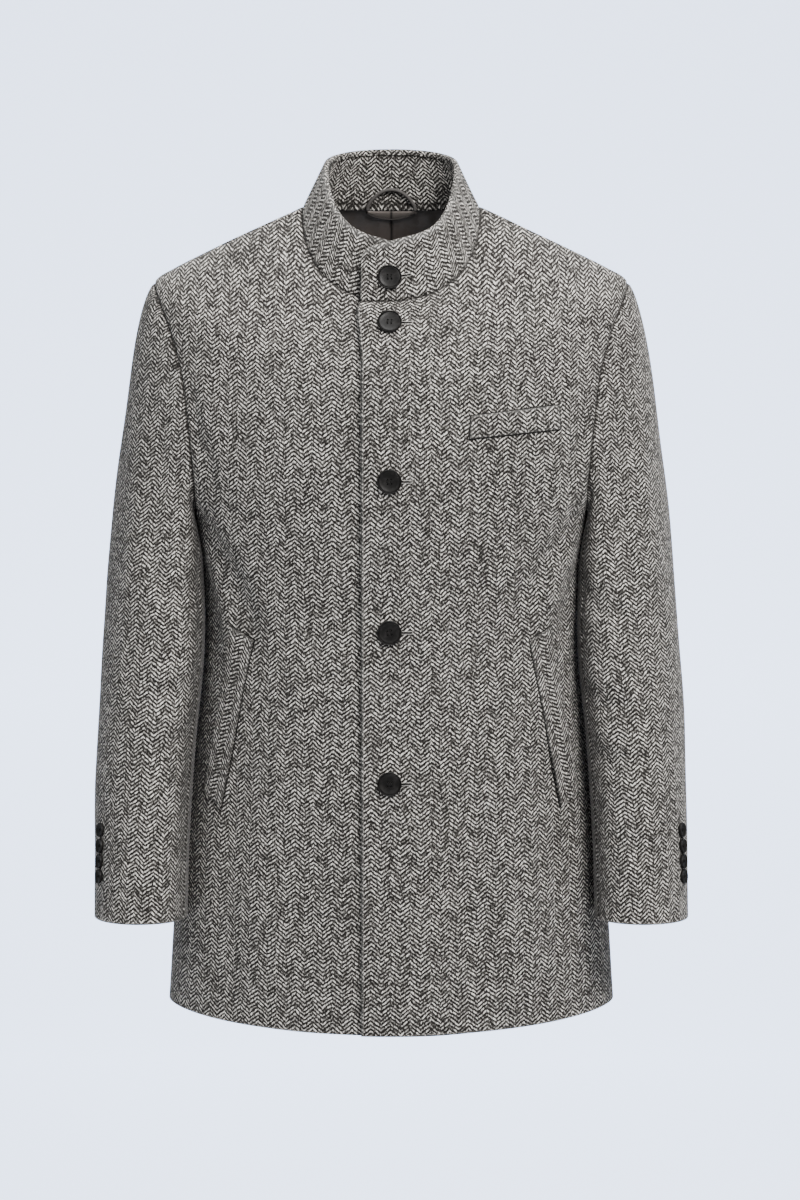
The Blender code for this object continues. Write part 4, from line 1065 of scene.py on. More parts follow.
def backPanel(name, mirrored):
    v = bodyRows()
    limit, flip = outerLimit(v, False), flipOf(mirrored)
    width = lengthOf(plainBody(limit, v) - plainBody(np.full_like(v, math.pi), v)) * 1.12
    share = graded(width, clothGrid["backColumns"])
    theta = limit[:, None] + (math.pi - limit)[:, None] * share
    gridV = v[:, None] + 0 * share
    points, outward = plainBody(theta, gridV), normals(plainBody, theta, gridV)
    offset = bodyDisplacement(points * flip, outward * flip, gridV)
    thickness = np.full_like(gridV, clothWall)
    outer, inner, shade = foldedCloth(points, outward, thickness, seamLines(False), offset)
    return clothShell(name, outer, inner, grainOf(theta, gridV, False), ("low",), shade, mirrored)


# ---- sleeves
def sleeveRows():
    edge = np.array(clothGrid["edge"])
    low, high = edge / 0.1, len(armTable) - edge[::-1] / 0.082
    between = np.linspace(0, len(armTable), clothGrid["sleeveRows"] + 1)
    between = between[(between > low[-1] + 0.02) & (between < high[0] - 0.02)]
    return np.concatenate([low, between, high])


def sleeveGrain(phi, w, points, outward, under):
    # Place on the sleeve's straight grain: its threads run down the arm, and over the crown.
    level = int(np.argmin(np.abs(w - 1.3)))
    around = runLength(points[level:level + 1], 1)[0]
    zero = np.interp(2 * math.pi if under else 0.0, phi[level], around)
    middle = np.array([sleeve(circle(24), np.full(24, place)).mean(0) for place in np.maximum(w, 1.0)])
    axis = unit(np.gradient(middle, axis=0) + np.array([0.0, 0.0, -1e-5]))
    axis = np.where((w < 1.05)[:, None], unit(np.array([0.10, -0.05, -1.0])), axis)[:, None, :]
    crown = np.maximum(outward[..., 2:], 0) ** 2 * np.array([0.9, 0.0, 0.0])
    grain = axis + crown
    grain = unit(grain - np.sum(grain * outward, -1, keepdims=True) * outward)
    cross = np.cross(grain, outward)
    step = np.diff(points, axis=0)
    def summed(way):
        mean = (way[1:] + way[:-1]) / 2
        total = np.concatenate([np.zeros((1, points.shape[1])), np.cumsum(np.sum(step * mean, -1), 0)])
        return total - total[level]
    return np.stack([around[None, :] - zero + summed(cross), -summed(grain)], -1)


def seamTurn(seam, w):
    return seam[0] + (seam[1] - seam[0]) * ease(w / len(armTable))


def sleevePanel(name, under, mirrored):
    w, full = sleeveRows(), 2 * math.pi
    hind, fore = seamTurn(hindSeam, w), seamTurn(foreSeam, w)
    start, end = (fore, hind + full) if under else (hind, fore)
    share = graded((end - start) * clothGrid["armRadius"], clothGrid["backColumns"])
    phi = start[:, None] + (end - start)[:, None] * share
    gridW = w[:, None] + 0 * share
    points, outward = sleeve(phi, gridW), sleeveNormals(phi, gridW)
    uv = sleeveGrain(phi, w, points, outward, under)
    offset = unevenness * softWaves(points, 11 if mirrored else 7)
    for fold in (rightSleeveFolds if mirrored else leftSleeveFolds):
        offset += foldOffset(points, outward, fold, foldLine(sleeve, fold))
    facing = bell((np.mod(phi, full) - math.pi) / chink["turn"])
    filled = chink["fill"] * bell((points[..., 2] - chink["at"]) / chink["tall"])
    offset = offset * (1 - facing) + filled * facing
    hole, rows = np.linspace(0, full, 320), np.linspace(0, len(armTable), 200)
    seams = [(armholePoint(hole), armholeMitre(hole), True)]
    seams += [(sleeve(seamTurn(seam, rows), rows), None, False) for seam in (hindSeam, foreSeam)]
    thickness = np.full_like(gridW, clothWall)
    grids = (*foldedCloth(points, outward, thickness, seams, offset), uv)
    outer, inner, shade, uv = (grid[::-1, ::-1] for grid in grids)
    return clothShell(name, outer, inner, uv, ("low",), shade, mirrored)


def paintShadeBeside(piece, others):
    # Painted shade in the crook between a sleeve and the body.
    mesh = piece.data
    trees = [clothTree(other) for other in others]
    seam = mesh.attributes["seam"].data
    below, full, (first, last) = (sleeveShade[key] for key in ("below", "full", "turn"))
    for vertex in mesh.vertices:
        away = min(tree.find_nearest(vertex.co)[3] for tree in trees)
        low = (below - vertex.co.z) / (below - full)
        facing = (-math.copysign(1.0, vertex.co.x) * vertex.normal.x - first) / (last - first)
        near = sleeveShade["dark"] * math.exp(-(away / sleeveShade["reach"]) ** 2)
        near *= min(max(low, 0.0), 1.0) * min(max(facing, 0.0), 1.0)
        seam[vertex.index].value = max(seam[vertex.index].value, near)


# ---- collar
def collarTurns():
    # Turns round the collar from its upper end to its lower one, and where they reach each other.
    bend = collarCorner / collarRim.frontDepth
    corner = -collarLapTurn + bend * np.array([0.0, 0.02, 0.06, 0.12, 0.20, 0.32, 0.46, 0.62, 0.80, 1.0])
    rest = np.linspace(corner[-1], math.pi, clothGrid["collarColumns"] // 2)[1:]
    half = np.concatenate([corner, rest])
    return half, (2 * math.pi - half[:-1])[::-1], bend


def cornerDrop(turns, bend):
    # How far the rounded corner brings the top edge down, by the turn from the centre front.
    short = collarCorner * (1 - np.clip((turns + collarLapTurn) / bend, 0, 1))
    return collarCorner - np.sqrt(np.maximum(collarCorner**2 - short**2, 0))


def collarFace(share, down, corner=1.0):
    # The collar's own outer face, its outward normals and its turns, on rows at a share of the way
    # up less a length down from the top.
    upper, lower, bend = collarTurns()
    faces, outwards, turnsUsed = [], [], []
    for turns, lapped in ((upper, True), (lower, False)):
        surface = collarSurface(lapped)
        measured = turns if lapped else 2 * math.pi - turns
        drop = cornerDrop(measured, bend) * corner
        height = lengthOf(collarTop(turns, lapped) - collarBase(turns, lapped))
        h = share[:, None] * (1 - drop / height) - down[:, None] / height
        spread = collarEndSpread * (1 - ease((measured + collarLapTurn) / collarEndReach)) * h
        theta = turns - spread if lapped else turns + spread
        outward = normals(surface, theta, h)
        near = np.clip(1 - h / 0.08, 0, 1)[..., None] ** 2
        outward = outward * (1 - near) + neckMitre(turns, lapped)[1] * near
        faces.append(surface(theta, h))
        outwards.append(outward)
        turnsUsed.append(np.repeat(measured[None, :], len(share), 0))
    return [np.concatenate(part, 1) for part in (faces, outwards, turnsUsed)]


def collarUv(points):
    around = runLength(points, 1)
    middle = around[:, [np.argmax(points[0, :, 1])]]
    up = runLength(points, 0)
    return np.stack([np.repeat((around - middle)[len(points) // 2][None, :], len(points), 0), up], -1)


collarStyle = {
    "swell": 0.0007, "wave": 0.0009,                  # slow waves of the outer and the inner layer
    "turnSteps": (25, 50, 75, 90, 105, 130, 155),     # degrees round the turn over the top edge
    "turnWall": 0.0016,                               # the cloth is pressed to this where it turns
    "rimWearAndHighlight": 1.2, "rimReach": 0.0026,               # rubbed nap and a painted highlight along the rim
    "endSeam": 0.00065,                               # radius of the painted shadow line down the upper end
    "rollSeam": 0.0040,                               # the outer layer comes over the rim by this
    "dip": 0.0009, "dipReach": 0.0026,                # the inner layer sinks into its seams
}


def collarOuter():
    edge = np.array(clothGrid["edge"]) / 0.05
    between = np.linspace(edge[-1], 0.94, clothGrid["collarRows"] + 1)[1:]
    share = np.concatenate([edge, between, [0.97, 1.0]])
    face, outward, measured = collarFace(share, np.zeros_like(share))
    sunk = seamStyle["depth"] * np.clip(1 - share * 0.05 / seamStyle["reach"], 0, 1)[:, None, None] ** 2
    swell = collarStyle["swell"] * softWaves(face, 21)[..., None] * ease(share / 0.3)[:, None, None]
    face = face + (swell - sunk) * outward
    # The cloth turns over the top edge and ends inside.
    thick = collarOuterWall + collarLayerGap + collarFacingWall
    half = thick / 2
    top, out, lift = face[-1], outward[-1], unit(face[-1] - face[-2])
    centre = top - half * out - half * lift
    over = [top - half * lift]
    over += [centre + half * (math.cos(angle) * out + math.sin(angle) * lift)
             for angle in np.radians(collarStyle["turnSteps"])]
    drops = (half, half + 0.0013, half + 0.0027, collarRoll - 0.0012, collarRoll - 0.0005, collarRoll)
    for drop in drops:
        sink = 0.0010 * max(0.0, 1 - (collarRoll - drop) / 0.0015) ** 2
        over.append(top - (thick - sink) * out - drop * lift)
    keep = lengthOf(face[:-1] - top).mean(1) > half + 0.0004
    low = face[:-1][keep]
    outer, n = np.concatenate([low, np.array(over)]), len(low)
    outwards = gridNormals(outer)
    inner = outer - collarStyle["turnWall"] * outwards
    inner[:n] = low - collarOuterWall * outward[:-1][keep]
    up = runLength(outer, 0)
    reach = seamStyle["shadeReach"]
    # Painted shade along the neck seam and the rim.
    shade = bell(up / reach) + bell((up[-1:] - up) / (0.6 * reach))
    # Painted shade on the lower end where the upper one covers it, and a painted shadow line, a dark
    # tube, down the upper end.
    under = (measured[0, len(collarTurns()[0]):] - collarLapTurn) * collarRim.frontDepth
    shade[:, -len(under):] = np.maximum(shade[:, -len(under):], coveredShade(under))
    ends = slice(1, n + 4)
    beside, above = unit(outer[ends, 0] - outer[ends, 1]), outwards[ends, 0]
    line = inner[ends, 0] + 0.0006 * beside + 0.0008 * above
    endSeam = tube("collarEndSeam", line, collarStyle["endSeam"], above, "darkThread", sides=6)
    worn = collarStyle["rimWearAndHighlight"] * bell((up - up[n]) / collarStyle["rimReach"])
    piece = clothShell("collarOuter", outer, inner, collarUv(outer), ("first", "last"), shade, worn=worn)
    return piece, endSeam


def collarInner():
    # Its seen side is the inner one, so the two grids change places and its columns are turned round.
    share = np.linspace(0, 1, clothGrid["collarRows"] + 1)
    share = np.concatenate([[0.0, 0.02, 0.045, 0.065, 0.08, 0.095, 0.115], share[share > 0.13][:-1],
                            [0.965, 0.98, 0.99, 1.0]])
    face, outward, _ = collarFace(share, (collarRoll + 0.0002) * share, facingCorner)
    sunk = collarOuterWall + collarLayerGap
    wave = collarStyle["wave"] * softWaves(face, 33) * (np.sin(math.pi * share) ** 0.5)[:, None]
    up = runLength(face, 0)
    ends = np.minimum(np.abs(up - collarStyle["rollSeam"]), up[-1:] - up)
    dip = collarStyle["dip"] * np.clip(1 - ends / collarStyle["dipReach"], 0, 1) ** 2
    hidden = face - sunk * outward
    seen = face - (sunk + collarFacingWall + wave - dip)[..., None] * outward
    # Painted shade along the roll seam and the top.
    shade = bell(ends / seamStyle["shadeReach"])
    seen, hidden, uv, shade = (grid[:, ::-1] for grid in (seen, hidden, collarUv(face), shade))
    return clothShell("collarInner", seen, hidden, uv, ("first", "last"), shade)


# ---- lining, hanger loop and its half-moon
liningStyle = {
    "firstRow": 10.0,                                  # the body's row that it ends at
    "mitreRows": 0.8,                                  # it turns to the collar over so many rows
    "ripple": 0.0014, "across": 0.019, "lean": 14.0,   # depth, width and slant of its ripples
    "seam": 0.0007, "seamWidth": 0.0015, "shadeWidth": 0.0011, "neckShade": 0.0012,
    "settle": 0.012, "neckSettle": 0.016,              # ripples die out this far from the seams
}


def liningHalf(name, mirrored):
    v = np.linspace(liningStyle["firstRow"], neckRow, 46)
    share = graded(np.full_like(v, 0.2), 46)
    theta = math.pi / 2 + share * math.pi / 2
    gridV = v[:, None] + 0 * theta
    outward = normals(plainBody, theta, gridV)
    near = ease((gridV - neckRow) / liningStyle["mitreRows"] + 1)[..., None]
    outward = outward * (1 - near) + neckMitre(theta[-1], False)[0] * near
    hidden = plainBody(theta, gridV) - liningSink * outward
    runs = edgeRuns(hidden)
    across, up, toNeck = runs["last"], runs["low"], runs["top"]
    fade = ease(across / liningStyle["settle"]) * ease(toNeck / liningStyle["neckSettle"])
    fade = ease(share / 0.06) * fade
    lean = liningStyle["lean"] * (1.3 if mirrored else 1.0)
    uneven = 0.6 + 0.4 * softWaves(hidden, 41 if mirrored else 43)
    ripple = np.sin(across / liningStyle["across"] * 2 * math.pi + lean * up) - 0.6
    ripple = liningStyle["ripple"] * fade * uneven * ripple
    pleat = liningStyle["seam"] * bell(across / liningStyle["seamWidth"])
    seen = hidden - (liningWall - np.minimum(ripple, 0) - pleat)[..., None] * outward
    # Painted shade along the centre seam and the neck seam.
    shade = np.maximum(bell(across / liningStyle["shadeWidth"]), bell(toNeck / liningStyle["neckShade"]))
    grids = seen, hidden, np.stack([-across, up], -1), shade
    seen, hidden, uv, shade = (grid[:, ::-1] for grid in grids)
    return clothShell(name, seen, hidden, uv, (), shade, mirrored, "liningSatin")


# The loop's cover: a sewn groove, its place and width as angles round the cord, and faint turns of
# three strands that run round by this many radians in a metre.
cordStyle = {"groove": 0.00035, "at": 1.1, "wide": 0.12, "twist": 0.00008, "turns": 2600, "strands": 3}


def tube(name, route, radius, outward, finish, sides=14, groove=0.0, twist=0.0):
    # A round cord along a route, with a sewn groove along it and faint turns in its cover.
    way = unit(np.gradient(route, axis=0))
    out = unit(outward - np.sum(outward * way, -1, keepdims=True) * way)
    side = np.cross(way, out)
    angles = circle(sides)[None, :]
    size = radius - groove * bell(np.sin((angles - cordStyle["at"]) / 2) / cordStyle["wide"])
    turned = runLength(route, 0)[:, None] * cordStyle["turns"] + cordStyle["strands"] * angles
    size = size + twist * np.sin(turned)
    ring = np.cos(angles)[..., None] * out[:, None] + np.sin(angles)[..., None] * side[:, None]
    points = (route[:, None] + size[..., None] * ring).reshape(-1, 3)
    index = np.arange(len(points)).reshape(len(route), sides)
    after = np.roll(index, -1, axis=1)
    faces = np.stack([index[:-1], after[:-1], after[1:], index[1:]], -1).reshape(-1, 4).tolist()
    faces += [index[0, ::-1].tolist(), index[-1].tolist()]
    return newPiece(name, newMesh(name, points, faces), finish)


def hangerLoop():
    turn = np.concatenate([[0, 0, 0], np.linspace(0, math.pi, 49), [math.pi] * 3])
    side, rise = arc(loopHalfSpan, loopRise, 49)
    sunkEnd = np.array([-0.0045, -0.0030, -0.0015])
    side = np.concatenate([[side[0]] * 3, side, [side[-1]] * 3])
    rise = np.concatenate([sunkEnd, rise, sunkEnd[::-1]])
    theta = math.pi - turnAt(side, np.full_like(side, neckRow))
    surface = collarSurface(False)
    top, base = surface(theta, np.ones_like(theta)), surface(theta, np.zeros_like(theta))
    h = (rise + loopRadius) / lengthOf(top - base)
    inward = -normals(surface, theta, h)
    sunk = collarOuterWall + collarLayerGap + collarFacingWall + layGap + loopRadius
    route = surface(theta, h) + (sunk + loopStandOff * np.sin(turn))[:, None] * inward
    return tube("hangerCord", route, loopRadius, inward, "twistedCord", groove=cordStyle["groove"],
                twist=cordStyle["twist"])


loopBaseStyle = {
    "fromSeam": 0.0012, "endDepth": 0.0015, "wall": 0.0008, "piping": 0.0009, "puff": 0.0007,
    "columns": 61, "rows": 16,
}


def loopBaseGrid():
    # The half-moon below the loop: rows from its straight edge to its curved one.
    side, deep = arc(loopHalfSpan, loopBaseDepth, loopBaseStyle["columns"])
    turns = math.pi - turnAt(side, np.full_like(side, neckRow))
    share = np.linspace(0, 1, loopBaseStyle["rows"])[:, None]
    theta = turns + 0 * share
    down = loopBaseStyle["fromSeam"] + share * (loopBaseStyle["endDepth"] + deep)
    above, below = neckRow, neckRow - 5 / 6
    length = lengthOf(plainBody(turns, above) - plainBody(turns, below))
    sunk = liningSink + liningWall + 3 * layGap
    inward = -neckMitre(np.abs(theta), False)[0]
    high = plainBody(theta, above) + sunk * inward
    low = plainBody(theta, below) - sunk * normals(plainBody, theta, np.full_like(theta, below))
    return high + (low - high) * (down / length)[..., None], inward, share


def loopBase():
    back, inward, share = loopBaseGrid()
    puff = loopBaseStyle["puff"] * np.sin(math.pi * share) ** 0.5
    seen = back + (loopBaseStyle["wall"] + puff)[..., None] * inward
    across = np.abs(np.linspace(-1, 1, loopBaseStyle["columns"])) * loopHalfSpan + 0 * share
    # Painted shade along the centre seam.
    shade = bell(across / liningStyle["shadeWidth"])
    grids = seen, back, np.stack([across, runLength(back, 0)], -1), shade
    seen, hidden, uv, shade = (grid[::-1] for grid in grids)
    moon = clothShell("loopBase", seen, hidden, uv, ("low", "first", "last"), shade, finish="loopTab")
    edge = back[-1] + 0.0009 * inward[-1]
    piping = tube("loopBasePiping", edge, loopBaseStyle["piping"], inward[-1], "twistedCord", sides=10)
    return moon, piping


# ---- welts
weltStyle = {
    "wall": 0.0016, "puff": 0.0005, "edge": 0.0032, "shift": (0.0096, 0.0021),
    # painted shade along the welts' edges, and a painted highlight along the top of a welt that does not
    # lean
    "shade": 0.7, "shadeReach": 0.0010, "topHighlight": 2.6, "topReach": 0.0014,
    # painted shadow lines along the seams that hold the welts down: two corners, and half the width of
    # each dark line
    "breast": (("low_in", "low_out", 0.00105), ("top_in", "top_out", 0.00095),
               ("low_in", "top_in", 0.00075), ("low_out", "top_out", 0.00075)),
    "hip": (("top_in", "top_out", 0.00075), ("low_in", "top_in", 0.00060),
            ("low_in", "low_out", 0.00060), ("low_out", "top_out", 0.00045)),
}


def riseOnCloth(tree, points, outward, above=0.015):
    # Height of the finished cloth over each point, along that point's outward direction.
    flat, ways = points.reshape(-1, 3), outward.reshape(-1, 3)
    rise = np.zeros(len(flat))
    for k, (point, way) in enumerate(zip(flat, ways)):
        hit = tree.ray_cast(Vector(point + above * way), Vector(-way), above * 2)
        if hit[0] is not None:
            rise[k] = above - hit[3]
    return rise.reshape(points.shape[:-1])


def welt(name, corners, steps, lapped, cloth, leaning):
    rows, columns = steps
    up = graded([0.1], rows)[0][:, None, None]
    out = graded([0.06], columns)[0][None, :, None]
    lowIn, lowOut, topOut, topIn = (np.array(corner) for corner in corners.values())
    flat = (1 - up) * ((1 - out) * lowIn + out * lowOut) + up * ((1 - out) * topIn + out * topOut)
    theta, v = placeOnFront(lapped, flat[..., 0], flat[..., 1])
    surface, flip = frontSurface(lapped), flipOf(not lapped)
    points, outward = surface(theta, v), normals(surface, theta, v)
    rise = riseOnCloth(clothTree(cloth), points * flip, outward * flip)
    rise = np.maximum(rise, np.median(rise) - 0.0006)
    runs = edgeRuns(points)
    edges = np.minimum.reduce(list(runs.values()))
    puff = weltStyle["wall"] + weltStyle["puff"] * ease(edges / weltStyle["edge"])
    under = points + (rise + layGap)[..., None] * outward
    face = under + puff[..., None] * outward
    # Painted shade along the welt's edges.
    shade = weltStyle["shade"] * bell(edges / weltStyle["shadeReach"])
    # A leaning welt has its columns along its own length, any other matches the front's and has a
    # painted highlight along its top.
    grain = np.stack([runs["first"], runs["low"]], -1) if leaning else grainOf(theta, v, True)
    worn = 0.0 if leaning else weltStyle["topHighlight"] * bell(runs["top"] / weltStyle["topReach"])
    return clothShell(name, face, under, grain + np.array(weltStyle["shift"]), tuple(runs), shade,
                      not lapped, worn=worn)


def weltShadowLines(name, corners, lines, lapped, cloth):
    # Painted shadow lines round a welt: dark tubes where it meets the front.
    surface, flip, tree = frontSurface(lapped), flipOf(not lapped), clothTree(cloth)
    share = np.linspace(0.0, 1.0, 50)[:, None]
    seams = []
    for number, (first, last, half) in enumerate(lines, 1):
        flat = np.array(corners[first]) * (1 - share) + np.array(corners[last]) * share
        theta, v = placeOnFront(lapped, flat[:, 0], flat[:, 1])
        points, outward = surface(theta, v) * flip, normals(surface, theta, v) * flip
        line = points + (riseOnCloth(tree, points, outward) + half * 0.6)[:, None] * outward
        seams.append(tube(f"{name}Seam{number}", line, half, outward, "darkThread", sides=6))
    return seams


# ---- buttons
buttonShape = {
    # face of a turned button, as (share of the radius, share of the thickness)
    "profile": ((0.0, 0.60), (0.30, 0.60), (0.55, 0.64), (0.74, 0.72), (0.82, 0.80), (0.845, 0.79),
                (0.865, 0.70), (0.885, 0.79), (0.91, 0.93), (0.945, 1.0), (0.975, 0.96), (0.993, 0.86),
                (1.0, 0.70), (1.0, 0.45), (0.975, 0.22), (0.92, 0.08), (0.80, 0.0)),
    "holeAway": 0.155, "holeRadius": 0.078,
    "strands": 3, "strandRadius": 0.00022, "strandRise": 0.00045, "strandSides": 8,
}


def buttonMesh(name, kind):
    # A turned four-hole button, its back on z = 0 and its face to +Z.
    radius, thick, segments = kind["radius"], kind["thick"], kind["segments"]
    turned = bmesh.new()
    rings = [[turned.verts.new((radius * share * math.cos(a), radius * share * math.sin(a),
                                thick * height)) for a in circle(segments)]
             for share, height in buttonShape["profile"][1:]]
    turned.faces.new(rings[0])
    for inner, outer in zip(rings, rings[1:]):
        for k in range(segments):
            after = (k + 1) % segments
            turned.faces.new((inner[k], outer[k], outer[after], inner[after]))
    turned.faces.new(rings[-1][::-1])
    data = bpy.data.meshes.new(name + "Blank")
    turned.to_mesh(data)
    turned.free()
    drills = bmesh.new()
    away, size = radius * buttonShape["holeAway"], radius * buttonShape["holeRadius"]
    for dx, dy in ((1, 1), (-1, 1), (1, -1), (-1, -1)):
        place = Matrix.Translation((dx * away, dy * away, thick / 2))
        bmesh.ops.create_cone(drills, cap_ends=True, segments=16, radius1=size, radius2=size,
                              depth=thick * 3, matrix=place)
    drillData = bpy.data.meshes.new(name + "Drills")
    drills.to_mesh(drillData)
    drills.free()
    blank, drill = newPiece(name + "Blank", data), newPiece(name + "Drills", drillData)
    cut = blank.modifiers.new("holes", "BOOLEAN")
    cut.operation = "DIFFERENCE"
    cut.object = drill
    finished = finalMesh(blank)
    for item in (blank, drill):
        bpy.data.objects.remove(item)
    return finished


def strandPoints(radius, thick):
    # Thread through the holes: two upright bars of a few strands, each over the button's face.
    away, size = radius * buttonShape["holeAway"], buttonShape["strandRadius"]
    count = buttonShape["strands"]
    t = np.linspace(-1, 1, 13)
    rise = thick * buttonShape["profile"][0][1] + size * 0.5 + buttonShape["strandRise"] * (1 - t * t)
    rise = rise - thick * 0.5 * np.clip((np.abs(t) - 0.80) / 0.20, 0, 1)
    return [np.stack([np.full_like(t, side * away + (strand - (count - 1) / 2) * size * 1.7),
                      t * away * 1.03, rise], -1) for side in (-1, 1) for strand in range(count)]


def sewnButton(name, mesh, kind, point, outward, turn):
    # One button with its thread, moved to its place, as a single mesh.
    body = bmesh.new()
    body.from_mesh(mesh)
    for face in body.faces:
        face.smooth = True
    sides, size = buttonShape["strandSides"], buttonShape["strandRadius"]
    across = np.array([1.0, 0.0, 0.0])
    for route in strandPoints(kind["radius"], kind["thick"]):
        up = np.cross(unit(np.gradient(route, axis=0)), across)
        rings = [[body.verts.new(place + size * (math.cos(a) * across + math.sin(a) * lift))
                  for a in circle(sides)] for place, lift in zip(route, up)]
        for low, high in zip(rings, rings[1:]):
            for k in range(sides):
                face = body.faces.new((low[k], low[(k + 1) % sides], high[(k + 1) % sides], high[k]))
                face.material_index, face.smooth = 1, True
    outward = Vector(outward)
    facing = outward.to_track_quat("Z", "Y").to_matrix().to_4x4() @ Matrix.Rotation(turn, 4, "Z")
    body.transform(Matrix.Translation(Vector(point) + outward * layGap) @ facing)
    data = bpy.data.meshes.new(name)
    body.to_mesh(data)
    body.free()
    data.set_sharp_from_angle(angle=math.radians(50))
    return newPiece(name, data, "turnedHorn", "thread")


def seatOnCloth(tree, point, outward, radius):
    # The point moved out until a flat back of this radius clears the finished cloth.
    first = unit(np.cross(outward, (0.0, 0.0, 1.0)))
    second = np.cross(outward, first)
    disc = [point] + [point + share * radius * (math.cos(a) * first + math.sin(a) * second)
                      for share in (0.5, 0.95) for a in circle(12)]
    rise = riseOnCloth(tree, np.array(disc), np.tile(outward, (len(disc), 1)))
    return point + (np.sort(rise)[-3] - layGap) * outward


def sewRow(name, mesh, kind, places):
    # Buttons of one kind, each on the cloth's tree that it lies on, at a point with its normal.
    sewn = {}
    for number, ((tree, point, outward), turn) in enumerate(zip(places, kind["turns"]), 1):
        seat = seatOnCloth(tree, point, outward, kind["radius"])
        sewn[f"{name}{number}"] = sewnButton(f"{name}{number}", mesh, kind, seat, outward, turn)
    return sewn


def allButtons(cloth):
    front, collar = clothTree(cloth["frontLeft"]), clothTree(cloth["collarOuter"])
    places = [(collar, *collarButtonPlace())]
    places += [(front, *frontButtonPlace(height)) for height in buttonHeights]
    sewn = sewRow("buttonFront", buttonMesh("frontButton", frontButton), frontButton, places)
    mesh = buttonMesh("cuffButton", cuffButton)
    for side in ("Left", "Right"):
        tree, flip = clothTree(cloth["sleeveTop" + side]), flipOf(side == "Right")
        places = [(tree, *(value * flip for value in cuffButtonPlace(height)))
                  for height in cuffButtonHeights]
        sewn.update(sewRow("buttonCuff" + side, mesh, cuffButton, places))
    return sewn


# ---- buttonholes
holeStyle = {
    "from": 0.0050, "to": 0.0215,      # along the slit, from the centre line
    "pitch": 0.00060, "stitch": 0.0012, "thick": 0.00050, "slit": 0.0013, "lift": 0.00010,
    "slitLift": 0.00055, "lean": 0.12, "endTurns": (-62, -31, 0, 31, 62),
}


def stitchTree():
    # Lays one small rounded stitch on each point, along its own way and lying on its own normal.
    tree = bpy.data.node_groups.new("stitches", "GeometryNodeTree")
    tree.is_modifier = True
    add = tree.interface.new_socket
    add("Geometry", in_out="INPUT", socket_type="NodeSocketGeometry")
    add("Geometry", in_out="OUTPUT", socket_type="NodeSocketGeometry")
    kinds = {"Length": "Float", "Thickness": "Float", "Seed": "Int", "Material": "Material"}
    sockets = {name: add(name, in_out="INPUT", socket_type="NodeSocket" + kind).identifier
               for name, kind in kinds.items()}
    given = tree.nodes.new("NodeGroupInput").outputs
    ball = addNode(tree, "GeometryNodeMeshIcoSphere", {"Subdivisions": 1, "Radius": 0.5})
    up, way = (addNode(tree, "GeometryNodeInputNamedAttribute", {"Name": name}, data_type="FLOAT_VECTOR")
               for name in ("up", "way"))
    axes = {"Primary Axis": up.outputs["Attribute"], "Secondary Axis": way.outputs["Attribute"]}
    stand = addNode(tree, "FunctionNodeAxesToRotation", axes, primary_axis="Z", secondary_axis="X")
    uneven = addNode(tree, "FunctionNodeRandomValue", {"Seed": given["Seed"]}, data_type="FLOAT")
    floats = [socket for socket in uneven.inputs if socket.type == "VALUE"]
    floats[0].default_value, floats[1].default_value = 0.80, 1.15
    long = maths(tree, "MULTIPLY", given["Length"], uneven.outputs[1])
    size = joinVector(tree, long, given["Thickness"], given["Thickness"])
    last = addNode(tree, "GeometryNodeInstanceOnPoints", {
        "Points": given["Geometry"], "Instance": ball.outputs["Mesh"],
        "Rotation": stand.outputs["Rotation"], "Scale": size})
    for kind in ("RealizeInstances", "SetShadeSmooth", "SetMaterial"):
        last = addNode(tree, "GeometryNode" + kind, {"Geometry": last.outputs[0]})
    feed(tree, last.inputs["Material"], given["Material"])
    feed(tree, tree.nodes.new("NodeGroupOutput").inputs["Geometry"], last.outputs[0])
    return tree, sockets


def stitched(name, tree, sockets, points, ways, ups, values):
    # Runs the stitch tree over a set of points and keeps the result as a plain mesh.
    data = bpy.data.meshes.new(name + "Points")
    data.from_pydata(points, [], [])
    for label, vectors in (("way", ways), ("up", ups)):
        data.attributes.new(label, "FLOAT_VECTOR", "POINT").data.foreach_set(
            "vector", np.asarray(vectors, np.float32).ravel())
    holder = newPiece(name + "Points", data)
    modifier = holder.modifiers.new("stitches", "NODES")
    modifier.node_group = tree
    for label, value in values.items():
        modifier[sockets[label]] = value
    finished = finalMesh(holder)
    finished.name = name
    bpy.data.objects.remove(holder)
    return newPiece(name, finished)


def holePattern():
    # Stitches along both sides of a slit and round its seen end: places, and the way each one lies.
    style = holeStyle
    reach = style["slit"] / 2 + style["stitch"] / 2     # from the slit's middle to a stitch's
    places, ways = [], []
    for side in (-1, 1):
        for x in np.arange(style["from"], style["to"], style["pitch"]):
            places.append((x, side * reach))
            ways.append((style["lean"] * side, 1.0))
    for angle in np.radians(style["endTurns"]):
        places.append((style["to"] + reach * math.cos(angle), reach * math.sin(angle)))
        ways.append((math.cos(angle), math.sin(angle)))
    return np.array(places), np.array(ways)


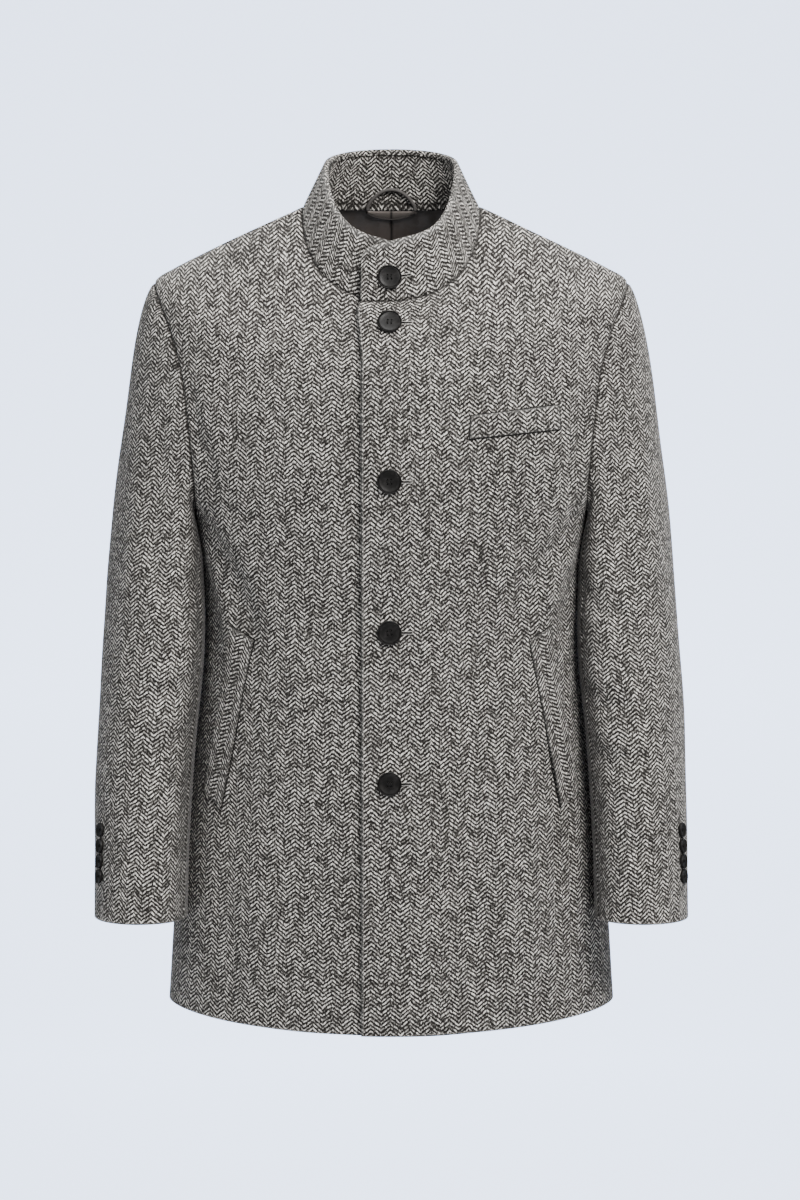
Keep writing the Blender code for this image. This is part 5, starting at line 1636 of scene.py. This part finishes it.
def buttonholes(cloth):
    # One behind each front button, seen to its right: pale stitches round a slit, shown as a dark tube
    # of painted shadow.
    style = holeStyle
    size = float(lengthOf(collarTop(np.zeros(1), True) - collarBase(np.zeros(1), True))[0])

    def onFront(height):
        return lambda x, z: placeOnFront(True, x + buttonLine, z + height)

    def onCollar(x, z):
        return turnAt(x + buttonLine, np.full_like(x, neckRow)), collarButtonShare + z / size

    front, collar = clothTree(cloth["frontLeft"]), clothTree(cloth["collarOuter"])
    spots = [(onFront(height), lappedBody, front) for height in buttonHeights]
    spots.append((onCollar, collarSurface(True), collar))
    flat, way = holePattern()
    points, ways, ups, slits = [], [], [], []
    for number, (turned, surface, shell) in enumerate(spots, 1):
        place = turned(*flat.T)
        on, out = surface(*place), normals(surface, *place)
        ahead = surface(*turned(flat[:, 0] + way[:, 0] * 1e-3, flat[:, 1] + way[:, 1] * 1e-3))
        rise = riseOnCloth(shell, on, out) + style["lift"]
        points.append(on + rise[:, None] * out)
        ways.append(unit(ahead - on))
        ups.append(out)
        run = np.linspace(style["from"], style["to"], 16)
        place = turned(run, 0 * run)
        on, out = surface(*place), normals(surface, *place)
        line = on + (riseOnCloth(shell, on, out) + style["slitLift"])[:, None] * out
        # The slit is a dark tube of painted shadow.
        name = f"buttonholeSlit{number}"
        slits.append(tube(name, line, style["slit"] / 2, out, "darkThread", sides=6))
    values = {"Length": style["stitch"], "Thickness": style["thick"], "Seed": 3,
              "Material": bpy.data.materials["holeThread"]}
    grids = (np.concatenate(part) for part in (points, ways, ups))
    return [stitched("buttonholeStitches", *stitchTree(), *grids, values)] + slits


# ---- the coat
coat = {}
for side, mirrored in (("Left", False), ("Right", True)):
    coat["front" + side] = frontPanel("front" + side, not mirrored)
    coat["back" + side] = backPanel("back" + side, mirrored)
    for part, under in (("sleeveTop", False), ("sleeveUnder", True)):
        coat[part + side] = sleevePanel(part + side, under, mirrored)
        paintShadeBeside(coat[part + side], [coat["front" + side], coat["back" + side]])
    coat["lining" + side] = liningHalf("lining" + side, mirrored)
print("panels and sleeves made")
coat["collarOuter"], collarEnd = collarOuter()
coat["collarInner"] = collarInner()
coat["hangerCord"] = hangerLoop()
coat["loopBase"], basePiping = loopBase()
sewingAndShadowLines = [collarEnd, basePiping]
welts = (("breastWelt", breastWelt, (14, 24), "Left", "breast"),
         ("hipWeltLeft", hipWelt, (36, 12), "Left", "hip"),
         ("hipWeltRight", hipWelt, (36, 12), "Right", "hip"))
for name, corners, steps, side, seams in welts:
    coat[name] = welt(name, corners, steps, side == "Left", coat["front" + side], seams == "hip")
for name, corners, _, side, seams in welts:
    sewingAndShadowLines += weltShadowLines(name, corners, weltStyle[seams], side == "Left", coat["front" + side])
print("collar, loop and welts made")
buttons = allButtons(coat)
sewingAndShadowLines += buttonholes(coat)
print("buttons and buttonholes sewn")


# ---- floor, light and camera
studio = {
    "paper": (0.80, 0.815, 0.85), "floorDrop": 0.90, "wallBehind": 4.6, "bend": 0.8,
    "world": 0.28, "worldColor": (0.93, 0.96, 1.0), "glow": 2.5, "glowColor": (0.75, 0.90, 1.235),
    # where the glow begins and ends, on each axis
    "glowBehind": (1.7, 2.5), "glowAside": (1.15, 2.0), "glowAbove": (1.1, 1.9),
}


def makePaper(name):
    # Pale paper; the wall behind is lit evenly of its own, where the camera sees it.
    glowing = {"Emission Color": (*studio["glowColor"], 1)}
    tree, surface = newMaterial(name, studio["paper"], 0.95, 0.0, glowing)
    x, y, z = addNode(tree, "ShaderNodeSeparateXYZ", {0: objectPlace(tree)}).outputs
    glow = smoothBetween(tree, y, *studio["glowBehind"], 0.0, studio["glow"])
    aside = smoothBetween(tree, maths(tree, "ABSOLUTE", x), *studio["glowAside"], 1.0, 0.0)
    above = smoothBetween(tree, z, *studio["glowAbove"], 1.0, 0.0)
    glow = maths(tree, "MULTIPLY", maths(tree, "MULTIPLY", glow, aside), above)
    feed(tree, surface.inputs["Emission Strength"], glow)


def sweep():
    # A paper sweep: floor, bend and wall in one surface, well behind and below the coat.
    floor = -neckHeight - 0.013 - studio["floorDrop"]
    back, bend = studio["wallBehind"], studio["bend"]
    profile = [(-5.0, floor)]
    profile += [(back - bend + bend * math.sin(a), floor + bend - bend * math.cos(a))
                for a in np.linspace(0, math.pi / 2, 24)]
    profile.append((back, 5.0))
    points = [(x, y, z) for y, z in profile for x in (-7.0, 7.0)]
    faces = [(2 * i, 2 * i + 1, 2 * i + 3, 2 * i + 2) for i in range(len(profile) - 1)]
    return newPiece("paperSweep", newMesh("paperSweep", points, faces), "paper")


makePaper("paper")
sweep()

lit = Vector((0, 0, -0.33))    # the lamps point here
lamps = {
    "key": {"from": (1.05, -2.1, 1.35), "size": (1.1, 1.1), "watts": 109, "color": (1.0, 0.985, 0.965)},
    "fill": {"from": (-1.9, -2.3, 1.1), "size": (1.6, 1.6), "watts": 28, "color": (0.97, 0.985, 1.0)},
    "top": {"from": (0.25, -0.2, 1.9), "size": (1.4, 1.4), "watts": 50, "color": (1.0, 1.0, 1.0)},
    "back": {"from": (0.0, 2.3, 1.75), "size": (1.1, 1.0), "watts": 34, "color": (1.0, 0.975, 0.94)},
}
for name, lamp in lamps.items():
    light = bpy.data.lights.new(name, "AREA")
    light.shape = "RECTANGLE"
    light.size, light.size_y = lamp["size"]
    light.energy = lamp["watts"]
    light.color = lamp["color"]
    holder = newPiece(name, light)
    place = Vector(lamp["from"])
    holder.location = place
    holder.rotation_euler = (lit - place).to_track_quat("-Z", "Y").to_euler()

world = bpy.data.worlds.new("studio")
scene.world = world
world.use_nodes = True
background = world.node_tree.nodes["Background"].inputs
background["Color"].default_value = (*studio["worldColor"], 1)
background["Strength"].default_value = studio["world"]

# Focal length, and how far the view's middle lies below the level, in pixels of 800 x 1200.
view = {"distance": 3.0, "height": 0.60, "aside": 0.009, "focal": 2941, "drop": 188}
camera = bpy.data.cameras.new("camera")
camera.sensor_width = 36
camera.sensor_fit = "AUTO"
camera.lens = 18 * view["focal"] / 600
cameraHolder = newPiece("camera", camera)
cameraHolder.location = (view["aside"], -view["distance"], view["height"] - neckHeight)
cameraHolder.rotation_euler = (math.pi / 2 - math.atan(view["drop"] / view["focal"]), 0, 0)
scene.camera = cameraHolder


# ---- what each piece stands for
slots = {"liningLeft": "satin", "liningRight": "satin", "hangerCord": "cord", "loopBase": "tab"}
otherSolids = {"collarInner": "collar_facing", "hangerCord": "hanger_loop"}
for name, piece in {**coat, **buttons}.items():
    # sleeveTopLeft stands for sleeve_top_left, buttonFront1 for button_front_1, and so on
    solid = "".join(letter if letter.islower() else "_" + letter.lower() for letter in name)
    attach(piece, "root")
    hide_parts(otherSolids.get(name, solid))
    "horn" if name in buttons else slots.get(name, "wool")
for piece in sewingAndShadowLines:
    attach(piece, "root")

# The flat cut of what shows of each cloth piece, in metres across and along its grain, and in
# square metres; how it is held, and what holds it.
cuts = {
    "frontLeft": ((0.350, 0.810), 0.234, "draped", ("collar_outer",)),
    "frontRight": ((0.346, 0.810), 0.233, "draped", ("collar_outer",)),
    "backLeft": ((0.289, 0.835), 0.206, "draped", ("collar_outer",)),
    "backRight": ((0.289, 0.835), 0.206, "draped", ("collar_outer",)),
    "sleeveTopLeft": ((0.274, 0.668), 0.108, "hung", ("front_left", "back_left")),
    "sleeveTopRight": ((0.274, 0.668), 0.108, "hung", ("front_right", "back_right")),
    "sleeveUnderLeft": ((0.268, 0.596), 0.088, "hung", ("front_left", "back_left")),
    "sleeveUnderRight": ((0.268, 0.596), 0.088, "hung", ("front_right", "back_right")),
    "collarOuter": ((0.592, 0.083), 0.0418, "stretched", ("collar_facing",)),
    "collarInner": ((0.600, 0.065), 0.0316, "stretched", ("collar_outer",)),
    "liningLeft": ((0.291, 0.175), 0.0249, "laid", ("back_left",)),
    "liningRight": ((0.291, 0.175), 0.0249, "laid", ("back_right",)),
    "loopBase": ((0.060, 0.019), 0.0005, "laid", ("lining_left", "lining_right")),
    "breastWelt": ((0.099, 0.037), 0.0026, "laid", ("front_left",)),
    "hipWeltLeft": ((0.031, 0.190), 0.0058, "laid", ("front_left",)),
    "hipWeltRight": ((0.031, 0.190), 0.0058, "laid", ("front_right",)),
}
for name, (flat, area, held, holders) in cuts.items():
    list(holders)
